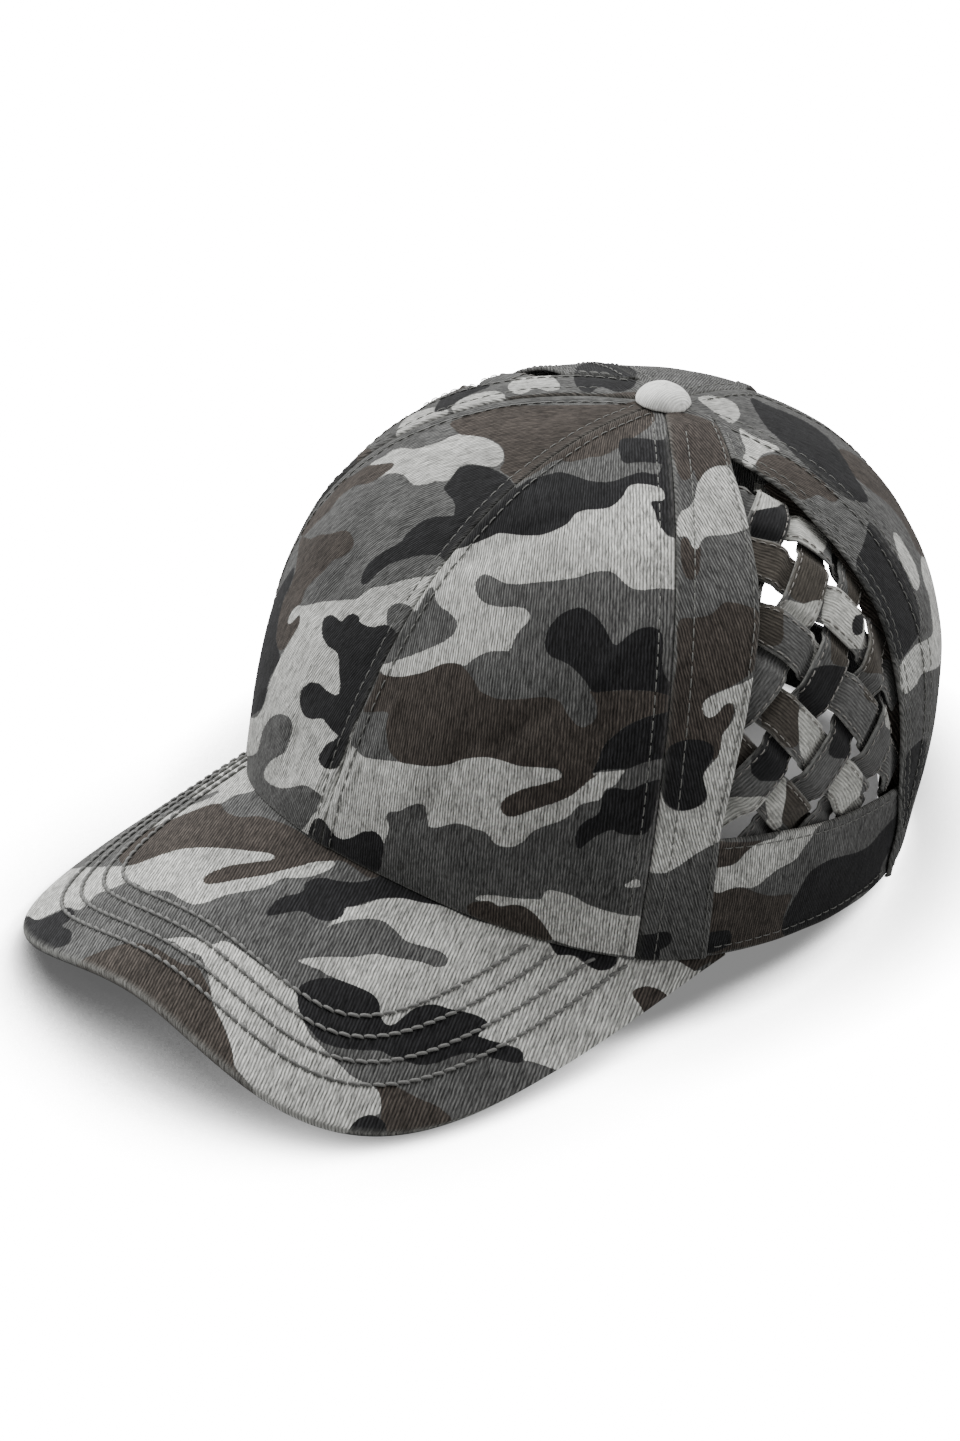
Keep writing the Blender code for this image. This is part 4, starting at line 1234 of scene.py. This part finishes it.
# Print on each left strip: boxes of the photograph's pixels, left, top, right and bottom
STRIP_PRINT = {
    "rising_1": [("light", 745, 470, 792, 509), ("grey", 770, 482, 782, 496),
                 ("black", 750, 509, 790, 540)],
    "rising_2": [("brown", 790, 535, 835, 600), ("light", 780, 600, 826, 624),
                 ("grey", 740, 640, 800, 740)],
    "rising_3": [("brown", 845, 565, 875, 612), ("brown", 830, 622, 862, 666),
                 ("black", 800, 666, 852, 722), ("black", 752, 732, 795, 779),
                 ("light", 715, 796, 768, 836)],
    "rising_4": [("brown", 862, 622, 902, 676), ("black", 832, 714, 860, 760),
                 ("grey", 790, 748, 848, 800)],
    "rising_5": [("light", 885, 696, 908, 732), ("grey", 855, 732, 905, 790)],
    "falling_1": [("light", 778, 500, 826, 556)],
    "falling_2": [("brown", 742, 520, 800, 592), ("light", 825, 580, 880, 646),
                  ("black", 851, 614, 864, 634)],
    "falling_3": [("brown", 752, 590, 786, 645), ("light", 812, 622, 828, 684),
                  ("brown", 866, 676, 890, 704)],
    "falling_4": [("brown", 760, 690, 801, 752), ("light", 801, 706, 826, 772),
                  ("light", 828, 760, 862, 814)],
    "falling_5": [("brown", 732, 732, 768, 792), ("light", 764, 776, 784, 832),
                  ("brown", 784, 778, 810, 830)],
}
PATCH_CORNER = 0.55
# How far the edges of the print stray from their boxes: pixels, size and seed
PATCH_STRAY, PATCH_STRAY_SIZE, PATCH_STRAY_SEED = 5.0, 0.006, 60
strip_twill = camouflage_twill(
    "washed_cotton_twill_strips", ("#aaaaa5", "#585857", "#44403b", "#242425"), rib_mm=0.85,
    contrast=0.24, yarn_contrast=0.45)
strip_thread = sewing_thread("pale_spun_polyester_thread", "#827f7b")


def on_crown(flat):
    """Angle and height share of flat places: across from the window's middle, up from the rim."""
    share = np.interp(flat[..., 1], MIDDLE_ARC, HEIGHTS)
    return WINDOW_MIDDLE + flat[..., 0] / spread(WINDOW_MIDDLE, share), share


def window_margin(flat):
    """Metres inside the nearest edge of the woven window, negative under its bands."""
    angle, share = on_crown(flat)
    scale = spread(WINDOW_MIDDLE, share)
    ahead = (angle - front_band_edge(share)) * scale
    behind = (rear_band_edge(share) - angle) * scale
    start = front_band_edge(np.interp(HEM_BAND, MIDDLE_ARC, HEIGHTS))
    end = rear_band_edge(np.interp(HEM_BAND_BACK, MIDDLE_ARC, HEIGHTS))
    above = flat[..., 1] - hem_top(np.clip((angle - start) / (end - start), 0, 1))
    return np.minimum(np.minimum(ahead, behind), above)


def weave(steps):
    """Flat-topped wave, 1 where the strip lies on top and -1 where it passes below."""
    c = np.cos(np.pi * steps)
    return c / np.sqrt(c * c + WEAVE_FLATNESS) * np.sqrt(1 + WEAVE_FLATNESS)


def strip_surface(along, sideways, crossing_step, step, sign):
    """Middle surface of one folded strip as a function of metres along and across it: it
    follows the crown, swings over and under the strips it crosses, and dives under the bands."""
    middle = WEAVE_CENTRE + sideways * step * STRIP_PITCH
    reach = np.linspace(-STRIP_REACH, STRIP_REACH, 721)
    held = reach[window_margin(middle + reach[:, None] * along) > -STRIP_TUCK]

    def place(run, side):
        flat = middle + run[..., None] * along + side[..., None] * sideways
        angle, share = on_crown(flat)
        crossing = (flat - WEAVE_CENTRE) @ crossing_step / STRIP_PITCH
        lift = WEAVE_SWING * sign * weave(crossing + step) - WEAVE_DEPTH
        deepest = WEAVE_SWING + STRIP_CLOTH / 2 - WEAVE_DEPTH + CLOTH + WEAVE_CLEARANCE
        lift = lift - deepest * (1 - smooth(window_margin(flat) / WEAVE_BLEND))
        normal = outward(angle, share)
        return crown(angle, share) + normal * lift[..., None], normal
    return place, held[0], held[-1]


def patch_depth(pixels, box):
    """Pixels that a point lies inside a box with well rounded corners, negative outside it."""
    middle = np.array([box[0] + box[2], box[1] + box[3]]) / 2
    half = np.array([box[2] - box[0], box[3] - box[1]]) / 2
    corner = PATCH_CORNER * half.min()
    beyond = np.abs(pixels - middle) - half + corner
    outer = np.linalg.norm(np.maximum(beyond, 0), axis=-1)
    return corner - outer - np.minimum(beyond.max(-1), 0)


def woven_strip(way, number, left):
    """One folded strip, a flat rounded section carried along its middle surface, with its print;
    gives the lines of the stitch rows along its two edges."""
    step = number - 3
    along, sideways, crossing_step, sign = WAYS[way]
    place, start, end = strip_surface(along, sideways, crossing_step, step, sign)
    count = int((end - start) / STRIP_STEP)
    run = np.linspace(start, end, count + 1)
    turn = np.linspace(0, 2 * np.pi, STRIP_RING, endpoint=False)
    across = np.sign(np.cos(turn)) * np.abs(np.cos(turn)) ** STRIP_SECTION[0]
    thick = np.sign(np.sin(turn)) * np.abs(np.sin(turn)) ** STRIP_SECTION[1]
    where = np.stack([run, np.full_like(run, step + 9), np.full_like(run, left)], -1)
    wander = STRIP_WANDER * ripple(where, STRIP_WANDER_SIZE, 8)
    side = (across * (STRIP_WIDTH / 2 - 0.0001))[None, :] + wander[:, None]
    run, side = np.broadcast_arrays(run[:, None], side)
    points, normal = place(run, side)
    height = thick * (STRIP_CLOTH / 2) * (1.0 + STRIP_SWELL * np.abs(across) ** STRIP_SWELL_POWER)
    points = in_place(points + normal * height[None, :, None], left).reshape(-1, 3)
    facing = (in_place(normal, left) + FOOT).reshape(-1, 3)
    flat = np.stack([side + step * 0.1, run], -1).reshape(-1, 2) * 1000
    faces = grid_faces(*run.shape, closed=True)
    if (way == "rising") == left:
        faces = faces[:, ::-1]
    layers = camouflage(points, facing, {})
    if left:
        stray = [ripple(points, PATCH_STRAY_SIZE, PATCH_STRAY_SEED + axis) for axis in range(2)]
        pixels = in_photo(points) + PATCH_STRAY * np.stack(stray, -1)
        layers = no_print(points)
        for layer, *box in STRIP_PRINT["%s_%d" % (way, number)]:
            at = CAMOUFLAGE_LAYERS.index(layer)
            layers[at] = np.maximum(layers[at], patch_depth(pixels, box) / PIXELS_PER_MM)
    worn = np.broadcast_to(np.abs(across) ** STRIP_WEAR_POWER, run.shape).ravel()
    name = "%s_strip_%s_%d" % (way, "left" if left else "right", number)
    piece = cloth_mesh(name + "_twill", points, flat, faces, layers, worn, strip_twill)
    finish_piece(piece, "strip_twill", name)
    lines = []
    for edge in (-1, 1):
        line = np.linspace(start + STRIP_SEAM_END, end - STRIP_SEAM_END, 160)
        inset = edge * (STRIP_WIDTH / 2 - STRIP_SEAM_INSET)
        points, normal = place(line, np.full_like(line, inset))
        points = points + normal * STRIP_CLOTH / 2
        lines.append((in_place(points, left), in_place(normal, left) + FOOT))
    return lines


lines = []
for left in (True, False):
    for way in WAYS:
        for number in range(1, 6):
            lines += woven_strip(way, number, left)
finish_piece(thread_rows("strip_stitching", lines, strip_thread, *STRIP_STITCH), "strip_twill")


# Back strap. The adjuster across the foot of the ponytail opening, a plain folded band of dark
# cloth inside the back panels; its stitched edge is not drawn. The photograph hides it.
STRAP_HEIGHT = 0.022
STRAP_LIFT = 0.003
STRAP_OVERLAP = 0.012
STRAP_DEPTH = CLOTH + 0.00045
STRAP_FOLD = 0.0006
STRAP_MESH = (81, 33)
STRAP_FLAT_MM = (74, 22)
dark_twill = camouflage_twill("black_cotton_twill_strap", ("#2b2b2c",) * 4)


def strap_surface(u, v):
    """Strap point: u round the back of the rim, v up it, a cloth's thickness inside the crown."""
    reach = (SLIT_HALF_WIDTH + STRAP_OVERLAP) / spread(np.pi, 0.0)
    angle = np.pi + reach * (2 * u - 1)
    angle = np.where(angle > np.pi, angle - 2 * np.pi, angle)
    share = np.interp(STRAP_LIFT + STRAP_HEIGHT * v, BACK_ARC, HEIGHTS)
    normal = outward(angle, share)
    drop = edge_roll(np.minimum(v, 1 - v) * STRAP_HEIGHT, STRAP_FOLD)
    return crown(angle, share) + normal * (drop - STRAP_DEPTH)[..., None], normal


u, v = np.meshgrid(*[np.linspace(0, 1, count) for count in STRAP_MESH], indexing="ij")
points, normal = strap_surface(u, v)
flat = np.stack([u, v], -1).reshape(-1, 2) * STRAP_FLAT_MM
points = in_place(points).reshape(-1, 3)
plain = no_print(points)
strap = cloth_mesh("back_strap_twill", points, flat, grid_faces(*STRAP_MESH), plain, plain[0] * 0,
                   dark_twill)
finish_piece(thicken(strap), "strap_cloth", "back_strap")


# Brim. A stiff board wrapped in the same cloth and bent to an arch, with four rows of thick grey
# stitching round it and a seam along its outer edge, where the cloth has worn pale.
BRIM_FLARE = 0.0011
BRIM_HALF_WIDTH = WING_X + BRIM_FLARE
BRIM_BOARD = 0.0032
BRIM_TUCK = 0.0025
CORNER_SQUARENESS = 3.06
NOSE_SQUARENESS = 4.39
BRIM_DROP = 0.0005
BRIM_MESH = (321, 81)
BRIM_TIP, BRIM_TIP_THIN = 0.035, 0.25
BRIM_GROOVE, BRIM_GROOVE_WIDTH = 0.0002, 0.0009
BRIM_RIB_TURN = radians(-27)
# Points round the outer fold and its cloth's length, the wear there, and the painted shade below
# it, black print on the fold's lower side, both counted from the last point of the upper cloth
BRIM_ROUND = 7
BRIM_FOLD = 0.004
BRIM_WEAR = (0.2, 0.6, 1.0, 0.8, 0.3, 0.1, 0.0)
BRIM_PAINTED_SHADE = slice(5, 10)
# Stitches: pitch, length, thread radius and slant
BRIM_STITCH = (0.0032, 0.0034, 0.0005, 0.14)
BRIM_ROWS = (0.0108, 0.0157, 0.0212, 0.0260)
BRIM_CHART = {
    "light": [
        [(10, 912), (20, 900), (45, 882), (62, 871), (80, 868), (100, 867), (122, 866), (133, 865),
         (150, 858), (170, 851), (190, 847), (220, 847), (250, 850), (270, 853), (277, 857),
         (272, 861), (256, 863), (240, 865), (226, 868), (211, 875), (206, 880), (209, 883),
         (221, 882), (240, 878), (260, 875), (280, 870), (300, 865), (315, 861), (330, 860),
         (335, 864), (326, 871), (312, 876), (296, 878), (283, 878), (272, 884), (258, 889),
         (240, 892), (222, 896), (210, 901), (197, 904), (188, 903), (178, 897), (170, 892),
         (158, 890), (148, 891), (138, 884), (128, 882), (118, 886), (108, 890), (98, 893),
         (92, 899), (88, 903), (78, 910), (68, 907), (55, 912), (42, 918), (35, 920), (28, 917),
         (10, 920)],
        [(150, 828), (165, 816), (190, 806), (212, 797), (220, 790), (205, 795), (192, 798),
         (200, 786), (214, 780), (224, 764), (236, 755), (250, 760), (256, 786), (250, 792),
         (236, 795), (222, 803), (208, 806), (190, 813), (170, 821)],
        [(165, 940), (175, 942), (185, 950), (200, 955), (205, 965), (208, 975), (211, 990),
         (213, 1003), (220, 1018), (227, 1033), (232, 1050), (235, 1066), (246, 1080),
         (255, 1092), (260, 1110), (300, 1130), (345, 1145), (350, 1128), (358, 1119),
         (368, 1115), (378, 1115), (381, 1105), (380, 1095), (375, 1088), (365, 1083),
         (350, 1075), (340, 1065), (330, 1055), (320, 1045), (310, 1035), (305, 1025),
         (300, 1015), (298, 1003), (296, 992), (288, 984), (276, 976), (262, 966), (250, 957),
         (240, 950), (230, 943), (222, 941), (212, 945), (200, 940), (185, 937), (172, 938)],
        [(340, 907), (352, 907), (365, 904), (380, 899), (400, 898), (412, 900), (425, 903),
         (440, 905), (450, 909), (462, 915), (475, 920), (490, 924), (510, 928), (530, 934),
         (545, 940), (552, 946), (560, 954), (572, 955), (580, 960), (588, 966), (600, 970),
         (610, 969), (616, 962), (622, 950), (645, 950), (668, 957), (682, 963), (696, 972),
         (712, 985), (690, 1000), (648, 1030), (602, 1060), (566, 1078), (556, 1070),
         (545, 1066), (530, 1061), (523, 1060), (523, 1053), (518, 1048), (508, 1045),
         (497, 1042), (480, 1037), (478, 1034), (484, 1030), (487, 1022), (478, 1016),
         (465, 1012), (450, 1009), (437, 1005), (425, 1005), (412, 1010), (400, 1020),
         (393, 1025), (387, 1025), (383, 1021), (380, 1014), (379, 1003), (372, 994),
         (360, 988), (345, 982), (330, 976), (320, 970), (308, 965), (298, 960), (320, 957),
         (340, 957), (355, 957), (375, 954), (390, 957), (410, 960), (425, 963), (435, 967),
         (445, 966), (448, 960), (443, 953), (430, 948), (415, 944), (405, 940), (395, 930),
         (385, 922), (375, 919), (360, 919), (345, 921), (332, 925), (326, 928), (334, 918)],
    ],
    "brown": [
        [(120, 862), (122, 852), (135, 840), (152, 828), (170, 820), (190, 812), (208, 805),
         (220, 804), (226, 812), (240, 817), (258, 816), (272, 820), (285, 824), (300, 832),
         (320, 844), (350, 856), (380, 872), (370, 878), (345, 862), (330, 861), (315, 862),
         (300, 866), (280, 871), (260, 876), (240, 879), (220, 883), (206, 884), (203, 880),
         (208, 874), (225, 867), (240, 864), (255, 862), (270, 860), (275, 857), (268, 853),
         (250, 851), (220, 848), (190, 848), (170, 852), (150, 859), (133, 865)],
        [(76, 966), (90, 956), (105, 950), (120, 945), (135, 943), (150, 945), (160, 950),
         (175, 960), (185, 965), (193, 965), (200, 970), (205, 980), (210, 990), (212, 1002),
         (218, 1015), (225, 1030), (230, 1045), (233, 1055), (235, 1068), (245, 1080),
         (252, 1090), (262, 1106), (262, 1120), (200, 1090), (120, 1020), (76, 985)],
        [(375, 1084), (390, 1084), (405, 1091), (420, 1099), (435, 1105), (445, 1112),
         (452, 1122), (440, 1142), (400, 1150), (380, 1148), (378, 1128), (381, 1115),
         (381, 1100), (378, 1090)],
        [(632, 994), (638, 988), (648, 986), (660, 990), (668, 996), (675, 1003), (664, 1012),
         (650, 1020), (645, 1015), (640, 1005)],
        [(668, 950), (690, 950), (740, 945), (740, 965), (710, 985), (696, 972), (682, 963)],
    ],
    "black": [
        [(12, 922), (20, 917), (28, 916), (36, 920), (45, 918), (58, 912), (68, 908), (75, 913),
         (70, 920), (62, 926), (70, 930), (72, 936), (68, 944), (58, 948), (45, 950), (35, 950),
         (18, 946), (10, 932)],
        [(266, 915), (270, 907), (277, 900), (286, 896), (302, 892), (305, 884), (313, 879),
         (325, 878), (340, 881), (360, 882), (375, 878), (385, 874), (400, 878), (430, 892),
         (452, 904), (446, 907), (440, 905), (425, 903), (412, 900), (400, 898), (385, 898),
         (370, 901), (355, 906), (345, 908), (343, 915), (335, 920), (325, 921), (315, 918),
         (305, 912), (295, 911), (285, 913), (275, 915)],
        [(298, 990), (303, 984), (315, 979), (330, 978), (345, 982), (360, 988), (372, 994),
         (379, 1003), (380, 1014), (383, 1021), (387, 1025), (393, 1025), (400, 1020),
         (412, 1010), (425, 1005), (437, 1005), (450, 1009), (465, 1012), (478, 1016),
         (487, 1022), (484, 1030), (478, 1034), (480, 1037), (495, 1042), (505, 1045),
         (518, 1049), (523, 1055), (522, 1062), (515, 1063), (500, 1060), (485, 1056),
         (470, 1053), (455, 1056), (440, 1062), (425, 1065), (410, 1063), (395, 1058),
         (388, 1055), (380, 1051), (360, 1050), (340, 1048), (322, 1042), (312, 1032),
         (303, 1020), (298, 1005)],
        [(350, 1128), (354, 1123), (360, 1118), (370, 1115), (379, 1118), (386, 1126),
         (386, 1140), (378, 1148), (350, 1148), (345, 1138)],
        [(548, 936), (560, 940), (575, 943), (590, 946), (612, 948), (617, 960), (613, 967),
         (605, 970), (597, 970), (590, 966), (582, 960), (575, 956), (565, 955), (558, 955),
         (552, 948)],
    ],
}
brim_twill = camouflage_twill("washed_cotton_twill_brim", PRINTS, rib_mm=0.85)


def brim_edge(turn, inset=0.0):
    """Outer edge of the brim: a superellipse with a squarer nose than corners, set in evenly."""
    depth = HALF_LENGTH + RIM_FORWARD + BRIM_REACH + WING_Y
    quarter = turn * np.pi / 2
    x = BRIM_HALF_WIDTH * np.sign(turn) * np.abs(np.sin(quarter)) ** (2 / CORNER_SQUARENESS)
    y = WING_Y - depth * np.abs(np.cos(quarter)) ** (2 / NOSE_SQUARENESS)
    if inset:
        along = np.stack([np.gradient(x), np.gradient(y)], -1)
        along = along / np.linalg.norm(along, axis=-1, keepdims=True)
        x, y = x - along[:, 1] * inset, y + along[:, 0] * inset
    return x, y


def brim_normal(x, y):
    """Unit normal of the bent brim, from its slopes both ways."""
    step = 1e-4
    across = (brim_height(x + step, y) - brim_height(x - step, y)) / (2 * step)
    ahead = (brim_height(x, y + step) - brim_height(x, y - step)) / (2 * step)
    normal = np.stack([-across, -ahead, np.ones_like(x)], -1)
    return normal / np.linalg.norm(normal, axis=-1, keepdims=True)


turn = np.linspace(-1, 1, BRIM_MESH[0])
share = np.linspace(0, 1, BRIM_MESH[1])
rim_x, rim_y, _ = rim(turn * BRIM_WRAP, BRIM_TUCK)
out_x, out_y = brim_edge(turn, BRIM_BOARD / 2)
x = rim_x[:, None] + (out_x - rim_x)[:, None] * share
y = rim_y[:, None] + (out_y - rim_y)[:, None] * share
normal = brim_normal(x, y)
middle = np.stack([x, y, brim_height(x, y) - BRIM_DROP], -1) - normal * BRIM_BOARD / 2
fullness = BRIM_TIP_THIN + (1 - BRIM_TIP_THIN) * smooth((1 - np.abs(turn)) / BRIM_TIP)
board = BRIM_BOARD * fullness[:, None, None]
edge_way = np.stack([out_x - rim_x, out_y - rim_y, 0 * out_x], -1)
edge_way = edge_way / np.maximum(np.linalg.norm(edge_way, axis=-1, keepdims=True), 1e-6)
edge_way = edge_way - normal[:, -1] * (edge_way * normal[:, -1]).sum(-1, keepdims=True)
bend = np.linspace(np.pi / 2, -np.pi / 2, BRIM_ROUND + 2)[1:-1]
rounded = (middle[:, -1:] + edge_way[:, None] * np.cos(bend)[:, None] * board / 2
           + normal[:, -1:] * np.sin(bend)[:, None] * board / 2)
upper = middle + normal * board / 2
edge_x, edge_y = [line[::3] for line in brim_edge(np.linspace(-1, 1, 1201))]
gap = np.sqrt((x[..., None] - edge_x) ** 2 + (y[..., None] - edge_y) ** 2).min(-1)
for inset in BRIM_ROWS:
    groove = BRIM_GROOVE * np.exp(-((gap - inset) / BRIM_GROOVE_WIDTH) ** 2)
    upper = upper - normal * groove[..., None]
lower = middle[:, ::-1] - normal[:, ::-1] * board / 2
loop = np.concatenate([upper, rounded, lower], axis=1)
flat_x = np.concatenate([x, np.repeat(x[:, -1:], BRIM_ROUND, 1), x[:, ::-1]], axis=1)
folded = y[:, -1:] - np.linspace(0, BRIM_FOLD, BRIM_ROUND)
flat_y = np.concatenate([y, folded, y[:, ::-1]], axis=1)
fold_way = np.repeat(normal[:, -1:], BRIM_ROUND, 1) * 0.5 + edge_way[:, None] * 0.5
facing = np.concatenate([normal, fold_way, -normal[:, ::-1]], axis=1)
points = in_place(loop).reshape(-1, 3)
facing = (in_place(facing) + FOOT).reshape(-1, 3)
flat = turned_flat(np.stack([flat_x, flat_y], -1).reshape(-1, 2) * 1000, BRIM_RIB_TURN)
worn = np.zeros(loop.shape[:2])
worn[:, BRIM_MESH[1] - 1:][:, :len(BRIM_WEAR)] = BRIM_WEAR
# Painted shade: black print on the lower side of the outer fold and the first points of the
# underside, where the brim's underside lies in shade.
painted_underside_shade = np.full(loop.shape[:2], -PRINT_LIMIT_MM)
painted_underside_shade[:, BRIM_MESH[1] - 1:][:, BRIM_PAINTED_SHADE] = PRINT_LIMIT_MM
layers = camouflage(points, facing, BRIM_CHART)
layers[3] = np.maximum(layers[3], painted_underside_shade.ravel())
faces = grid_faces(*loop.shape[:2], closed=True)[:, ::-1]
brim = cloth_mesh("brim_twill", points, flat, faces, layers, worn.ravel(), brim_twill)
finish_piece(brim, "brim_twill", "brim")

brim_thread = sewing_thread("grey_brim_thread", "#70706e")
lines = []
for inset in BRIM_ROWS:
    x, y = brim_edge(np.linspace(-0.999, 0.999, 1601), inset)
    ahead = (x / HALF_WIDTH) ** 2 + ((y + RIM_FORWARD) / HALF_LENGTH) ** 2 > 1.0
    x, y = x[ahead & (y < WING_Y)], y[ahead & (y < WING_Y)]
    normal = brim_normal(x, y)
    line = np.stack([x, y, brim_height(x, y) - BRIM_DROP], -1) - normal * BRIM_GROOVE
    lines.append((in_place(line), in_place(normal) + FOOT))
finish_piece(thread_rows("brim_stitching", lines, brim_thread, *BRIM_STITCH), "brim_twill")


# Button. A round metal form covered with a gathered disc of light cloth, pressed on where the
# six seams meet.
BUTTON_RADIUS = 0.0074
BUTTON_HEIGHT = 0.0047
BUTTON_SEAT = 0.00045
BUTTON_MESH = (25, 96)
# Gathers: their share of the radius and how soon they fade up the dome; and the dome's dents
GATHER, GATHER_FADE = 0.045, 1.6
DENT, DENT_SIZE = 0.05, 0.7
button_twill = camouflage_twill("light_cotton_twill_button", ("#f2f2ee",) * 4, rib_mm=0.6,
                                contrast=0.12, yarn_contrast=0.2)
rise = np.linspace(0, 1, BUTTON_MESH[0]) ** 0.8
ring = np.linspace(0, 2 * np.pi, BUTTON_MESH[1], endpoint=False)
radius = BUTTON_RADIUS * np.cos(rise * np.pi / 2) ** 0.75
height = BUTTON_HEIGHT * np.sin(rise * np.pi / 2) ** 1.1
round_way = np.stack([ring * 3.2, ring * 0, ring * 0 + 5], -1) * 0.3
gathers = ripple(round_way, 0.3, 21) - 0.2 * np.sin(ring * 13)
radius = radius[:, None] * (1 + GATHER * gathers * (1 - rise[:, None]) ** GATHER_FADE)
dents = ripple(np.stack([np.cos(ring), np.sin(ring), ring * 0], -1), DENT_SIZE, 22)
height = height[:, None] * (1 + DENT * dents)
dome = np.stack([radius * np.cos(ring), TOP_BACK + radius * np.sin(ring),
                 CROWN_HEIGHT + BUTTON_SEAT + height], -1)
underside = np.tile([0, TOP_BACK, CROWN_HEIGHT + BUTTON_SEAT], (1, len(ring), 1))
dome = np.concatenate([underside, dome])
flat = (dome[..., :2] * 1000).reshape(-1, 2)
points = in_place(dome).reshape(-1, 3)
plain = no_print(points)
faces = grid_faces(*dome.shape[:2], closed=True)[:, ::-1]
button = cloth_mesh("button_twill", points, flat, faces, plain, plain[0] * 0, button_twill)
finish_piece(button, "button_twill", "button")
